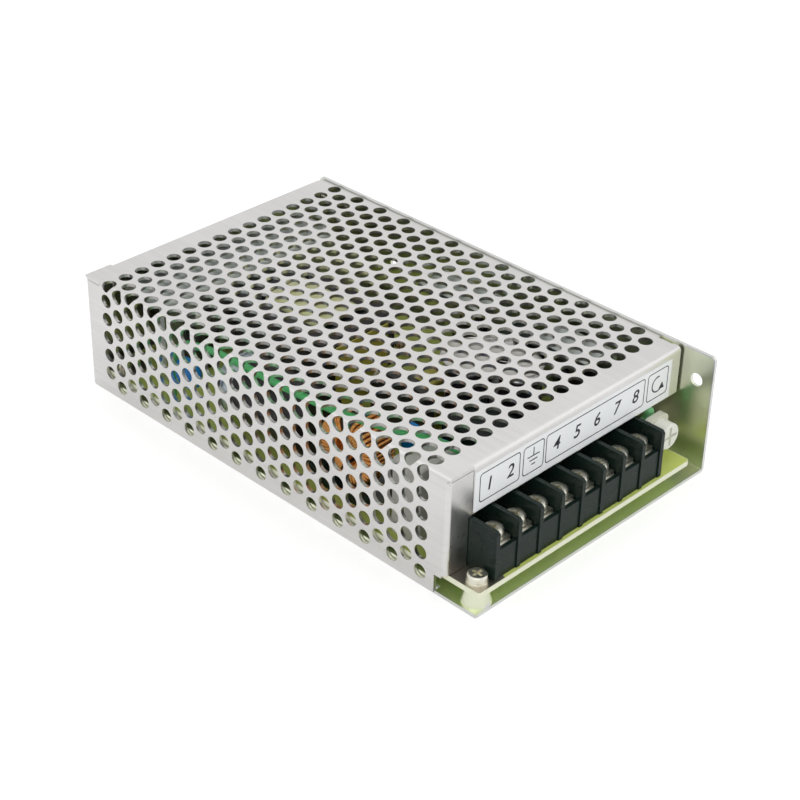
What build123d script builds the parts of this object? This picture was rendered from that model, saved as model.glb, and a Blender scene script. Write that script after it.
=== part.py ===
from build123d import *
import os
from math import cos, pi, radians, sin, tan

os.makedirs("parts", exist_ok=True)

# Mesh case switching power supply, in millimetres.
# The terminal end faces -Y, +Z is up, and the origin is the middle of the underside.
# Places inside the case are written as distances from its left face or the right wall's
# inner face, and from its rear end or its front edge, whichever the piece belongs to.

# Case
case_length = 159.0
case_width = 97.0
case_height = 38.0
seat_gap = 0.15  # between sheets that lie against each other
left = -case_width / 2
right = case_width / 2
front = -case_length / 2
rear = case_length / 2


def spot(from_left, from_rear):
    """Place measured from the left face and the rear end."""
    return (left + from_left, rear - from_rear)


def fore(from_left, from_front):
    """Place measured from the left face and the front edge."""
    return (left + from_left, front + from_front)


def across(from_rear):
    """Plane across the case, which faces the front."""
    return Plane.XZ.offset(from_rear - rear)


def lengthwise(from_left):
    """Plane along the case, which faces the right."""
    return Plane.YZ.offset(left + from_left)


# Chassis: base and right wall of one folded sheet
chassis_sheet = 1.0
chassis_bend = 0.4  # inside radius of every fold
lip_height = 3.5
lip_from_rear = 8.0
lip_from_front = 18.0
apron_length = 14.6  # bare front stretch, as wide as the cover
wall_corner = 1.5
wall_hole = 4.0
wall_hole_from_front = 5.4
wall_hole_height = 28.8

# Cover: left side, top and end flanges of one folded sheet
cover_sheet = 1.0
cover_bend = 0.4  # inside radius of every fold
cover_setback = 11.1  # behind the case's front edge
wall_rise = 0.6  # the wall stands this much above the cover
flange_height = 14.9
flange_from_left = 9.5
flange_wall_gap = 0.8
tab_width = 9.3
tab_seam = 0.15
slit_length = 6.5
relief_hole = 1.6
notch_length = 3.9
notch_height = 6.0
cover_lift = 0.2  # rear flange above the surface

# Perforation of the cover, a staggered pattern that runs over the left fold
hole_size = 4.3
pitch_along = 5.175
pitch_across = 6.12
pitch_down = 6.19
first_column = 9.6  # from the rear end
front_blank = 8.0
top_fold_hole = 1.6  # centre from the left face, measured on the top
side_fold_hole = 2.05  # centre from the top face, measured on the side
edge_land = 0.2  # least metal between a hole and the right edge
neutral_share = 0.44  # depth of the unstretched layer in a fold

# Cover fixing tabs and their screws
fix_tab_width = 6.2
fix_tab_height = 12.0
fix_tab_length = 12.0
fix_tab_low = 20.0
fix_tab_gap = 0.2  # behind the front fold
screw_size = 3.0
thread_gap = 0.05
flush_head = 5.4
flush_head_height = 0.9
cover_screw_length = 4.0

# Mounting holes
base_hole_across = 55.0
base_hole_along = 120.0
wall_mount_along = 90.0
wall_mount_height = 19.0
mount_hole = 3.0

# Circuit board and its bosses
boss_height = 5.2
boss_top = 6.4
boss_foot = 9.0
board_sheet = 1.6
board_gap = 0.5
board_right_gap = 6.0  # from the wall
board_rear_gap = 4.5
board_corner = 1.0
board_hole = 3.4
front_boss_left = (5.1, 4.5)  # from the left face, from the front edge
front_boss_right = (10.0, 21.5)  # from the wall, from the front edge
rear_boss_left = (5.5, 8.0)  # from the left face, from the rear end
rear_boss_right = (10.0, 8.0)  # from the wall, from the rear end
pan_head = 5.6
pan_head_height = 2.2
washer_size = 6.0
washer_sheet = 0.7
board_screw_length = 6.0
recess_width = 0.9
recess_length = 3.2
recess_depth = 1.2

# Terminal block
ways = 8
terminal_pitch = 8.5
barrier = 1.4
block_from_left = 8.3
block_front = 1.3  # behind the case's front edge
block_length = 16.7
block_top_gap = 0.5  # below the cover's flange
block_side_gap = 0.2  # beside the cover's front tab
barrier_chamfer = 0.8
body_setback = 0.4
body_front_wall = 1.2
body_back_wall = 2.0
body_front_height = 9.0
floor_height = 7.8
back_height = 13.2
well_size = 4.4
well_depth = 6.4

# Terminal contacts, clamp plates and screws
contact_sheet = 0.8
contact_width = 6.0
contact_play = 0.2
contact_leg = 3.0
terminal_thread = 3.5
screw_from_front = 7.0
plate_width = 6.3
plate_length = 6.6
plate_sheet = 0.8
plate_rib = 1.2
plate_rib_height = 0.3
plate_hole = 3.8
terminal_head = 6.0
terminal_head_height = 2.5
terminal_head_edge = 0.6
terminal_screw_length = 8.0
terminal_recess_length = 4.0
terminal_recess_depth = 1.4

# Output trimmer and lamp
trimmer_from_wall = 11.5
trimmer_from_front = 8.6
trimmer_width = 9.0
trimmer_sheet = 2.2
trimmer_height = 13.0
trimmer_axis_height = 8.5  # above the board
rotor_size = 8.0
rotor_length = 4.4
rotor_pin = 2.0
rotor_pin_length = 1.5
rotor_slot = 1.0
rotor_slot_depth = 1.2
running_gap = 0.05
lamp_from_wall = 9.3
lamp_from_front = 13.8
lamp_size = 3.0
lamp_rim = 3.8
lamp_rim_height = 1.0
lamp_height = 4.8
lamp_lift = 8.4
lamp_lead = 0.5
lamp_lead_pitch = 2.54

# Label on the cover's front flange
label_from_left = 9.9
label_width = 81.3
label_lift = 0.4
label_height = 12.1
label_sheet = 0.2

# Heatsinks, bent from aluminium sheet
heatsink_sheet = 2.0
heatsink_bend = 1.0
heatsink_height = 26.2  # above the board, like every height of a component
rear_sink_from_left = 10.0
rear_sink_width = 70.0
rear_sink_from_rear = 24.0
rear_sink_depth = 18.0
side_sink_from_wall = 7.5
side_sink_depth = 14.5
side_sink_rear = (66.0, 25.0)  # from the rear end, length
side_sink_front = (28.0, 21.0)  # from the front edge, length

# Packages screwed to the heatsinks
package_width = 10.0
package_depth = 4.5
package_height = 9.2
package_tab = 1.3
package_tab_height = 15.6
package_lift = 4.0
package_lead = 0.7
package_lead_pitch = 2.54
package_lead_depth = 2.6
package_screw_drop = 2.8  # below the top of the metal tab
transistor_from_left = 22.0
heatsink_screw_length = 4.8

# Transformer
core_from_left = 33.0
core_from_rear = 28.0
core_width = 31.0
core_length = 39.0
core_lift = 3.0
core_height = 18.2
core_yoke = 6.0
core_leg = 10.0
bobbin_gap = 0.2
bobbin_wall = 1.0
bobbin_cheek = (18.4, 20.8)
bobbin_rail = (25.0, 4.0)
winding_size = (18.0, 21.8)
winding_round = 3.0
winding_gap = 0.1

# Capacitor that lies at the left, as diameter, length and place
bulk_size = 20.0
bulk_length = 34.0
bulk_from_left = 16.0
bulk_from_rear = 50.0
can_edge = 0.8
groove = 0.5
groove_width = 1.0
groove_from_end = 3.0

# Mains choke: a ring core with two windings on a base
choke_from_left = 13.0
choke_from_front = 57.0
choke_height = 13.2
choke_ring = (9.5, 5.0)  # outer and inner radius
choke_ring_width = 8.0
choke_turns = (11.0, 3.6)  # outer and inner radius
choke_turns_width = 10.8
choke_arc = 140.0
choke_gap = 0.1
choke_base_size = (14.0, 24.0, 5.2)

# Boxed components: their left front corner as (from left, from front), width, length, height
film_box = (5.0, 25.5, 16.0, 10.5, 23.7)
filter_box = (43.0, 61.0, 11.0, 7.0, 16.2)
relay_box = (34.0, 27.0, 16.0, 18.0, 18.2)
inductor_box = (73.0, 51.5, 13.0, 14.0, 21.2)
bridge_box = (36.0, 54.0, 4.5, 18.0, 18.0)
barrier_box = (33.0, 85.7, 21.0, 0.5, 23.2)
box_round = 0.8
bridge_lift = 3.0
bridge_chamfer = 3.0

# Standing capacitors: diameter and height, then places
output_can = (12.5, 25.0)
output_spots = ((52.0, 52.5), (66.0, 55.0), (60.0, 39.5))  # from left, from front
small_can = (8.0, 11.5)
small_rear_spots = ((46.0, 80.0), (30.0, 12.0))  # from left, from rear
small_front_spots = ((57.0, 27.0), (71.0, 31.0))  # from left, from front

# Discs on two leads
disc_size = 10.0
disc_sheet = 4.0
disc_lift = 7.7
disc_lead = 0.6
disc_lead_pitch = 5.0
disc_rear_spot = (4.5, 41.0)
disc_front_spots = ((27.0, 49.0), (27.0, 37.0))
thermistor_size = 12.0
thermistor_sheet = 4.5
thermistor_lift = 3.0
thermistor_spot = (11.0, 38.0)  # of its front face, from left, from front

# Fuse and its clips
fuse_size = 5.0
fuse_length = 20.0
fuse_spot = (37.0, 22.0)  # from left, from front
fuse_height = 5.0
fuse_cap = 5.5
fuse_cap_sheet = 0.1
clip_sheet = 0.5
clip_gap = 0.05
clip_bend = 0.3

# Small parts on the board
chip_size = (6.4, 9.6, 3.4)
chip_lift = 0.6
chip_lead = 0.5
chip_lead_pitch = 2.54
chip_reach = 8.2
chip_spots = ((60.0, 80.0), (70.0, 86.0))
resistor_size = 2.4
resistor_length = 6.5
resistor_lift = 1.2
resistor_lead = 0.6
resistor_reach = 10.0
resistor_spots = ((73.0, 36.0), (73.0, 48.0), (73.0, 60.0), (30.0, 92.0))  # from rear

# Insulated lead from the rear of the board to its front
lead_size = 2.2
lead_rear_points = (
    (6.5, 31.0, 0.0),
    (6.5, 31.0, 10.0),
    (4.0, 38.5, 22.7),
    (3.6, 58.0, 26.8),
    (3.5, 84.0, 27.4),
)
lead_front_points = (
    (6.5, 53.0, 27.0),
    (13.0, 35.0, 27.1),
    (18.5, 21.0, 26.0),
    (21.5, 21.0, 13.2),
    (21.5, 21.0, 0.0),
)

# Places that follow from the sizes above
chassis_fold = chassis_bend + chassis_sheet
cover_fold = cover_bend + cover_sheet
wall_inside = right - chassis_sheet
tray_left = left + cover_sheet + seat_gap
tray_rear = rear - cover_sheet - seat_gap
cover_top = case_height - wall_rise
cover_under = cover_top - cover_sheet
cover_front = front + cover_setback
cover_length = rear - cover_front
cover_right = wall_inside - seat_gap
flange_right = wall_inside - flange_wall_gap
flange_left = left + flange_from_left
flange_low = cover_top - flange_height
tab_top = cover_under - tab_seam
tab_right = left + tab_width
board_under = boss_height
board_top = board_under + board_sheet
hole_radius = hole_size / 2
thread_radius = screw_size / 2 - thread_gap
board_left = left + cover_sheet + board_gap
board_front = front + board_gap
board_right = wall_inside - board_right_gap
board_places = [
    (left + front_boss_left[0], front + front_boss_left[1]),
    (wall_inside - front_boss_right[0], front + front_boss_right[1]),
    (left + rear_boss_left[0], rear - rear_boss_left[1]),
    (wall_inside - rear_boss_right[0], rear - rear_boss_right[1]),
]
block_left = left + block_from_left
block_back = front + block_front + block_length
block_floor = board_top + floor_height
block_top = flange_low - block_top_gap
way_places = [block_left + barrier / 2 + (way + 0.5) * terminal_pitch for way in range(ways)]
screw_y = front + screw_from_front
plate_under = block_floor + contact_sheet
plate_top = plate_under + plate_rib_height + plate_sheet
trimmer_x = wall_inside - trimmer_from_wall
trimmer_face = front + trimmer_from_front
trimmer_axis = board_top + trimmer_axis_height
lamp_x = wall_inside - lamp_from_wall
lamp_y = front + lamp_from_front
sink_hole = board_top + package_lift + package_tab_height - package_screw_drop
rear_sink_face = rear - rear_sink_from_rear
side_sink_face = wall_inside - side_sink_from_wall - heatsink_sheet
transistor_x = left + transistor_from_left
diode_places = [
    rear - side_sink_rear[0] - side_sink_rear[1] / 2,
    front + side_sink_front[0] + side_sink_front[1] / 2,
]
core_x = left + core_from_left + core_width / 2
core_y = rear - core_from_rear - core_length / 2
core_z = board_top + core_lift + core_height / 2
core_window = core_length - 2 * core_yoke
tube_size = core_leg + 2 * bobbin_gap + 2 * bobbin_wall
tube_length = core_window - 2 * bobbin_gap
choke_x, choke_y = fore(choke_from_left, choke_from_front)
choke_z = board_top + choke_height
fix_tab_front = cover_front + cover_fold + fix_tab_gap
front_fix = (fix_tab_front + fix_tab_width / 2, cover_top - fix_tab_height / 2 - cover_fold)
rear_fix = (rear - fix_tab_length / 2 - cover_fold, fix_tab_low + fix_tab_height / 2)
cover_fixes = [front_fix, rear_fix]

# Chassis
with BuildPart() as chassis:
    with BuildSketch(Plane.XZ.offset(-rear)):
        with BuildLine():
            FilletPolyline(
                (tray_left + chassis_fold, 0), (right, 0), (right, case_height), radius=chassis_fold
            )
            offset(amount=chassis_sheet, side=Side.LEFT)
        make_face()
    extrude(amount=case_length)
    # Bare apron in front of the cover's notch
    with BuildSketch(Plane.XY):
        with Locations((left, front)):
            Rectangle(2 * chassis_fold + cover_sheet, apron_length, align=(Align.MIN, Align.MIN))
    extrude(amount=chassis_sheet)
    # Low lip inside the cover's left side
    with BuildSketch(Plane.XZ.offset(lip_from_rear - rear)):
        with BuildLine():
            FilletPolyline(
                (tray_left, lip_height),
                (tray_left, 0),
                (tray_left + 2 * chassis_fold, 0),
                radius=chassis_fold,
            )
            offset(amount=chassis_sheet, side=Side.LEFT)
        make_face()
    extrude(amount=case_length - lip_from_rear - lip_from_front)
    # Low lip inside the cover's rear flange
    with BuildSketch(Plane.XY):
        with Locations((left, tray_rear - chassis_fold)):
            Rectangle(
                cover_right - cover_fold + seat_gap - left,
                2 * chassis_fold + cover_sheet,
                align=(Align.MIN, Align.MIN),
            )
    extrude(amount=chassis_sheet, mode=Mode.SUBTRACT)
    with BuildSketch(Plane.YZ.offset(left + lip_from_rear)):
        with BuildLine():
            FilletPolyline(
                (tray_rear, lip_height),
                (tray_rear, 0),
                (tray_rear - 2 * chassis_fold, 0),
                radius=chassis_fold,
            )
            offset(amount=chassis_sheet, side=Side.RIGHT)
        make_face()
    extrude(amount=case_width - 2 * lip_from_rear)
    # Bosses pressed up from below, which carry the circuit board
    with Locations(*[(x, y, 0) for x, y in board_places]):
        Cone(boss_foot / 2, boss_top / 2, boss_height, align=(Align.CENTER, Align.CENTER, Align.MIN))
        Cone(
            boss_foot / 2 - chassis_sheet,
            boss_top / 2 - chassis_sheet / 2,
            boss_height - chassis_sheet,
            align=(Align.CENTER, Align.CENTER, Align.MIN),
            mode=Mode.SUBTRACT,
        )
        Cylinder(
            screw_size / 2,
            boss_height,
            align=(Align.CENTER, Align.CENTER, Align.MIN),
            mode=Mode.SUBTRACT,
        )
    # Mounting holes of the base
    with BuildSketch(Plane.XY):
        with GridLocations(base_hole_across, base_hole_along, 2, 2):
            Circle(mount_hole / 2)
    extrude(amount=chassis_sheet, mode=Mode.SUBTRACT)
    # Holes of the wall: two to mount by, one bare one at the front, two for the cover's screws
    with BuildSketch(Plane.YZ.offset(wall_inside)):
        with Locations((0, wall_mount_height)):
            with GridLocations(wall_mount_along, 1, 2, 1):
                Circle(mount_hole / 2)
        with Locations((front + wall_hole_from_front, wall_hole_height)):
            Circle(wall_hole / 2)
        with Locations(*cover_fixes):
            Circle(screw_size / 2 + thread_gap)
    extrude(amount=chassis_sheet, mode=Mode.SUBTRACT)
    for y, z in cover_fixes:
        with Locations(Plane((right, y, z), x_dir=(0, 1, 0), z_dir=(1, 0, 0))):
            Cone(
                screw_size / 2,
                flush_head / 2 + thread_gap,
                flush_head_height,
                align=(Align.CENTER, Align.CENTER, Align.MAX),
                mode=Mode.SUBTRACT,
            )
    fillet(chassis.edges().filter_by(Axis.X).group_by(Axis.Z)[-1], wall_corner)
chassis.part.label = "chassis"
export_step(chassis.part, "parts/chassis.step")

# Cover
column_count = int((cover_length - first_column - front_blank) / pitch_along) + 1
even_columns = (column_count + 1) // 2
odd_columns = column_count // 2
even_middle = rear - first_column - (even_columns - 1) * pitch_along
odd_middle = rear - first_column - odd_columns * pitch_along
cover_width = cover_right - left
top_even_rows = int((cover_width - top_fold_hole - hole_radius - edge_land) / pitch_across)
top_odd_rows = int((cover_width - top_fold_hole - hole_radius - edge_land) / pitch_across + 0.5)
side_odd_rows = int((cover_top - side_fold_hole - hole_radius) / pitch_down)
side_even_rows = int((cover_top - side_fold_hole - hole_radius) / pitch_down + 0.5)
top_even_x = left + top_fold_hole + (top_even_rows + 1) / 2 * pitch_across
top_odd_x = left + top_fold_hole + top_odd_rows / 2 * pitch_across
side_odd_z = cover_top - side_fold_hole - (side_odd_rows + 1) / 2 * pitch_down
side_even_z = cover_top - side_fold_hole - side_even_rows / 2 * pitch_down
fold_arc = pi / 2 * (cover_bend + neutral_share * cover_sheet)
top_hole_down = 2 * cover_fold + hole_radius - top_fold_hole - fold_arc
top_hole_in = top_fold_hole + hole_radius
side_hole_in = 2 * cover_fold + hole_radius - side_fold_hole - fold_arc
side_hole_down = side_fold_hole + hole_radius

with BuildPart() as cover:
    # Left side and top, with a slit at the rear end of the fold
    with BuildSketch(Plane.XZ.offset(slit_length - rear)):
        with BuildLine():
            FilletPolyline((left, 0), (left, cover_top), (cover_right, cover_top), radius=cover_fold)
            offset(amount=cover_sheet, side=Side.RIGHT)
        make_face()
    extrude(amount=cover_length - slit_length)
    with BuildSketch(Plane.XZ.offset(-rear)):
        with Locations((left, 0)):
            Rectangle(cover_sheet, tab_top, align=(Align.MIN, Align.MIN))
        with Locations((left, cover_top)):
            Rectangle(cover_width, cover_sheet, align=(Align.MIN, Align.MAX))
    extrude(amount=slit_length)
    # Room for the folds of the flanges and tabs
    with BuildSketch(Plane.XY.offset(cover_top)):
        with Locations((flange_left, cover_front)):
            Rectangle(cover_right - flange_left, cover_fold, align=(Align.MIN, Align.MIN))
        with Locations((flange_left, rear)):
            Rectangle(cover_right - flange_left, cover_fold, align=(Align.MIN, Align.MAX))
        with Locations((cover_right, fix_tab_front)):
            Rectangle(cover_fold, fix_tab_width, align=(Align.MAX, Align.MIN))
    extrude(amount=-cover_sheet, mode=Mode.SUBTRACT)
    with BuildSketch(Plane.YZ.offset(left)):
        with Locations((cover_front, 0)):
            Rectangle(cover_fold, tab_top, align=(Align.MIN, Align.MIN))
            Rectangle(notch_length, notch_height, align=(Align.MIN, Align.MIN))
        with Locations((rear, 0)):
            Rectangle(cover_fold, tab_top, align=(Align.MAX, Align.MIN))
    extrude(amount=cover_sheet, mode=Mode.SUBTRACT)
    # Front flange
    with BuildSketch(Plane.YZ.offset(flange_left)):
        with BuildLine():
            FilletPolyline(
                (cover_front, flange_low),
                (cover_front, cover_top),
                (cover_front + 2 * cover_fold, cover_top),
                radius=cover_fold,
            )
            offset(amount=cover_sheet, side=Side.RIGHT)
        make_face()
    extrude(amount=flange_right - flange_left)
    # Rear flange
    with BuildSketch(Plane.YZ.offset(flange_left)):
        with BuildLine():
            FilletPolyline(
                (rear, cover_lift),
                (rear, cover_top),
                (rear - 2 * cover_fold, cover_top),
                radius=cover_fold,
            )
            offset(amount=cover_sheet, side=Side.LEFT)
        make_face()
    extrude(amount=cover_right - cover_fold - flange_left)
    # Front tab of the left side, which ends just above the circuit board
    with BuildSketch(Plane.XY.offset(board_top + cover_lift)):
        with BuildLine():
            FilletPolyline(
                (left, cover_front + notch_length),
                (left, cover_front),
                (tab_right, cover_front),
                radius=cover_fold,
            )
            offset(amount=cover_sheet, side=Side.LEFT)
        make_face()
    extrude(amount=tab_top - board_top - cover_lift)
    with BuildSketch(Plane.XZ.offset(-cover_front - cover_sheet)):
        with Locations((block_left - block_side_gap, board_top)):
            Rectangle(tab_width, block_top + block_side_gap - board_top, align=(Align.MIN, Align.MIN))
    extrude(amount=cover_sheet, mode=Mode.SUBTRACT)
    # Rear tab of the left side
    with BuildSketch(Plane.XY.offset(cover_lift)):
        with BuildLine():
            FilletPolyline(
                (left, rear - 2 * cover_fold), (left, rear), (tab_right, rear), radius=cover_fold
            )
            offset(amount=cover_sheet, side=Side.RIGHT)
        make_face()
    extrude(amount=tab_top - cover_lift)
    # Fixing tabs against the chassis wall, one from the top and one from the rear flange
    with BuildSketch(Plane.XZ.offset(-fix_tab_front - fix_tab_width)):
        with BuildLine():
            FilletPolyline(
                (cover_right - 2 * cover_fold, cover_top),
                (cover_right, cover_top),
                (cover_right, cover_top - fix_tab_height - cover_fold),
                radius=cover_fold,
            )
            offset(amount=cover_sheet, side=Side.RIGHT)
        make_face()
    extrude(amount=fix_tab_width)
    with BuildSketch(Plane.XY.offset(fix_tab_low)):
        with BuildLine():
            FilletPolyline(
                (cover_right - 2 * cover_fold, rear),
                (cover_right, rear),
                (cover_right, rear - fix_tab_length - cover_fold),
                radius=cover_fold,
            )
            offset(amount=cover_sheet, side=Side.RIGHT)
        make_face()
    extrude(amount=fix_tab_height)
    with BuildSketch(Plane.YZ.offset(cover_right - cover_sheet)):
        with Locations(*cover_fixes):
            Circle(screw_size / 2)
    extrude(amount=cover_sheet, mode=Mode.SUBTRACT)
    # Relief holes where the folds meet at the two left corners
    for y in (cover_front, rear):
        with Locations(Plane((left, y, tab_top), x_dir=(0, 1, 0), z_dir=(1, 0, 0))):
            Cylinder(relief_hole / 2, 2 * cover_sheet, mode=Mode.SUBTRACT)
    # Perforation of the top
    with BuildSketch(Plane.XY.offset(cover_top)):
        with Locations((top_even_x, even_middle)):
            with GridLocations(pitch_across, 2 * pitch_along, top_even_rows, even_columns):
                Circle(hole_radius)
        with Locations((top_odd_x, odd_middle)):
            with GridLocations(pitch_across, 2 * pitch_along, top_odd_rows, odd_columns):
                Circle(hole_radius)
    extrude(amount=-cover_sheet, mode=Mode.SUBTRACT)
    # Perforation of the left side
    with BuildSketch(Plane.YZ.offset(left)):
        with Locations((even_middle, side_even_z)):
            with GridLocations(2 * pitch_along, pitch_down, even_columns, side_even_rows):
                Circle(hole_radius)
        with Locations((odd_middle, side_odd_z)):
            with GridLocations(2 * pitch_along, pitch_down, odd_columns, side_odd_rows):
                Circle(hole_radius)
    extrude(amount=cover_sheet, mode=Mode.SUBTRACT)
    # Holes bent over the fold, cut square to the line between their two ends
    with BuildSketch(
        Plane(
            (left + top_hole_in / 2, even_middle, cover_top - top_hole_down / 2),
            x_dir=(0, 1, 0),
            z_dir=(-top_hole_down, 0, top_hole_in),
        )
    ):
        with GridLocations(2 * pitch_along, 1, even_columns, 1):
            Circle(hole_radius)
    extrude(amount=hole_size, both=True, mode=Mode.SUBTRACT)
    with BuildSketch(
        Plane(
            (left + side_hole_in / 2, odd_middle, cover_top - side_hole_down / 2),
            x_dir=(0, 1, 0),
            z_dir=(-side_hole_down, 0, side_hole_in),
        )
    ):
        with GridLocations(2 * pitch_along, 1, odd_columns, 1):
            Circle(hole_radius)
    extrude(amount=hole_size, both=True, mode=Mode.SUBTRACT)
cover.part.label = "cover"
export_step(cover.part, "parts/cover.step")

# Screws of the cover, flush in the wall
with BuildPart() as cover_screws:
    for y, z in cover_fixes:
        with Locations(Plane((right, y, z), x_dir=(0, 1, 0), z_dir=(1, 0, 0))):
            Cone(
                thread_radius,
                flush_head / 2,
                flush_head_height,
                align=(Align.CENTER, Align.CENTER, Align.MAX),
            )
            Cylinder(thread_radius, cover_screw_length, align=(Align.CENTER, Align.CENTER, Align.MAX))
            for turn in (0, 90):
                Box(
                    recess_width,
                    recess_length,
                    recess_depth,
                    rotation=(0, 0, turn),
                    align=(Align.CENTER, Align.CENTER, Align.MAX),
                    mode=Mode.SUBTRACT,
                )
cover_screws.part.label = "cover_screws"
export_step(cover_screws.part, "parts/cover_screws.step")

# Label on the front flange
with BuildPart() as terminal_label:
    with Locations((left + label_from_left, cover_front, flange_low + label_lift)):
        Box(label_width, label_sheet, label_height, align=(Align.MIN, Align.MAX, Align.MIN))
terminal_label.part.label = "terminal_label"
export_step(terminal_label.part, "parts/terminal_label.step")

# Circuit board
with BuildPart() as circuit_board:
    with BuildSketch(Plane.XY.offset(board_under)) as outline:
        with Locations((board_left, board_front)):
            Rectangle(
                board_right - board_left,
                rear - board_rear_gap - board_front,
                align=(Align.MIN, Align.MIN),
            )
        fillet(outline.vertices(), board_corner)
        with Locations(*board_places):
            Circle(board_hole / 2, mode=Mode.SUBTRACT)
    extrude(amount=board_sheet)
circuit_board.part.label = "circuit_board"
export_step(circuit_board.part, "parts/circuit_board.step")

# Board screws, each with its washer
with BuildPart() as board_screws:
    with Locations(*[(x, y, board_top) for x, y in board_places]):
        Cylinder(washer_size / 2, washer_sheet, align=(Align.CENTER, Align.CENTER, Align.MIN))
    with Locations(*[(x, y, board_top + washer_sheet) for x, y in board_places]):
        Cylinder(pan_head / 2, pan_head_height, align=(Align.CENTER, Align.CENTER, Align.MIN))
        Cylinder(thread_radius, board_screw_length, align=(Align.CENTER, Align.CENTER, Align.MAX))
    fillet(board_screws.edges().filter_by(GeomType.CIRCLE).group_by(Axis.Z)[-1], terminal_head_edge)
    with Locations(*[(x, y, board_top + washer_sheet + pan_head_height) for x, y in board_places]):
        for turn in (0, 90):
            Box(
                recess_width,
                recess_length,
                recess_depth,
                rotation=(0, 0, turn),
                align=(Align.CENTER, Align.CENTER, Align.MAX),
                mode=Mode.SUBTRACT,
            )
board_screws.part.label = "board_screws"
export_step(board_screws.part, "parts/board_screws.step")

# Terminal block: a moulded body with nine barriers, open at the front of each way
with BuildPart() as terminal_block:
    with BuildSketch(Plane.YZ.offset(block_left)):
        with Locations((front + block_front + body_setback, board_top)):
            Rectangle(
                block_length - body_setback, floor_height, align=(Align.MIN, Align.MIN)
            )
            Rectangle(body_front_wall, body_front_height, align=(Align.MIN, Align.MIN))
        with Locations((block_back, board_top)):
            Rectangle(body_back_wall, back_height, align=(Align.MAX, Align.MIN))
    extrude(amount=ways * terminal_pitch + barrier)
    for way in range(ways + 1):
        with BuildSketch(Plane.YZ.offset(block_left + way * terminal_pitch)) as side:
            with Locations((front + block_front, board_top)):
                Rectangle(block_length, block_top - board_top, align=(Align.MIN, Align.MIN))
            chamfer(side.vertices().group_by(Axis.Y)[-1].sort_by(Axis.X)[0], barrier_chamfer)
        extrude(amount=barrier)
    with BuildSketch(Plane.XY.offset(block_floor)):
        with Locations(*[(x, screw_y) for x in way_places]):
            Circle(well_size / 2)
    extrude(amount=-well_depth, mode=Mode.SUBTRACT)
    with BuildSketch(Plane.XY.offset(block_floor)):
        with Locations(*[(x, block_back - body_back_wall) for x in way_places]):
            Rectangle(
                contact_leg + 2 * contact_play,
                contact_sheet + 2 * contact_play,
                align=(Align.CENTER, Align.MAX),
            )
    extrude(amount=-floor_height, mode=Mode.SUBTRACT)
terminal_block.part.label = "terminal_block"
export_step(terminal_block.part, "parts/terminal_block.step")

# Contacts, one in each way, with a leg down to the board
contact_front = front + block_front + body_setback + body_front_wall + contact_play
contact_back = block_back - body_back_wall - contact_play
with BuildPart() as terminal_contacts:
    with BuildSketch(Plane.XY.offset(block_floor)):
        with Locations(*[(x, contact_front) for x in way_places]):
            Rectangle(contact_width, contact_back - contact_front, align=(Align.CENTER, Align.MIN))
        with Locations(*[(x, screw_y) for x in way_places]):
            Circle(terminal_thread / 2, mode=Mode.SUBTRACT)
    extrude(amount=contact_sheet)
    with BuildSketch(Plane.XY.offset(board_top)):
        with Locations(*[(x, contact_back) for x in way_places]):
            Rectangle(contact_leg, contact_sheet, align=(Align.CENTER, Align.MAX))
    extrude(amount=floor_height)
terminal_contacts.part.label = "terminal_contacts"
export_step(terminal_contacts.part, "parts/terminal_contacts.step")

# Clamp plates, which lie on the contacts with two ribs
for way, x in enumerate(way_places, 1):
    with BuildPart() as clamp_plate:
        with BuildSketch(Plane.YZ.offset(x - plate_width / 2)):
            with Locations((screw_y, plate_top)):
                Rectangle(plate_length, plate_sheet, align=(Align.CENTER, Align.MAX))
            with Locations((screw_y, plate_under)):
                with GridLocations(plate_length - plate_rib, 1, 2, 1):
                    Rectangle(plate_rib, plate_rib_height, align=(Align.CENTER, Align.MIN))
        extrude(amount=plate_width)
        with Locations((x, screw_y, plate_under)):
            Cylinder(
                plate_hole / 2,
                plate_top - plate_under,
                align=(Align.CENTER, Align.CENTER, Align.MIN),
                mode=Mode.SUBTRACT,
            )
    clamp_plate.part.label = f"clamp_plate_{way}"
    export_step(clamp_plate.part, f"parts/clamp_plate_{way}.step")

# Terminal screws
for way, x in enumerate(way_places, 1):
    with BuildPart() as terminal_screw:
        with Locations((x, screw_y, plate_top)):
            Cylinder(
                terminal_head / 2, terminal_head_height, align=(Align.CENTER, Align.CENTER, Align.MIN)
            )
            Cylinder(
                terminal_thread / 2 - thread_gap,
                terminal_screw_length,
                align=(Align.CENTER, Align.CENTER, Align.MAX),
            )
        fillet(terminal_screw.edges().group_by(Axis.Z)[-1], terminal_head_edge)
        with Locations((x, screw_y, plate_top + terminal_head_height)):
            for turn in (0, 90):
                Box(
                    recess_width,
                    terminal_recess_length,
                    terminal_recess_depth,
                    rotation=(0, 0, turn),
                    align=(Align.CENTER, Align.CENTER, Align.MAX),
                    mode=Mode.SUBTRACT,
                )
    terminal_screw.part.label = f"terminal_screw_{way}"
    export_step(terminal_screw.part, f"parts/terminal_screw_{way}.step")

# Body of the output trimmer, upright on the board
with BuildPart() as trimmer_body:
    with BuildSketch(Plane.XZ.offset(-trimmer_face - trimmer_sheet)) as plate:
        with Locations((trimmer_x, board_top)):
            Rectangle(trimmer_width, trimmer_height, align=(Align.CENTER, Align.MIN))
        fillet(plate.vertices().group_by(Axis.Y)[-1], rotor_pin)
        with Locations((trimmer_x, trimmer_axis)):
            Circle(rotor_pin / 2 + running_gap, mode=Mode.SUBTRACT)
    extrude(amount=trimmer_sheet)
trimmer_body.part.label = "trimmer_body"
export_step(trimmer_body.part, "parts/trimmer_body.step")

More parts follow.
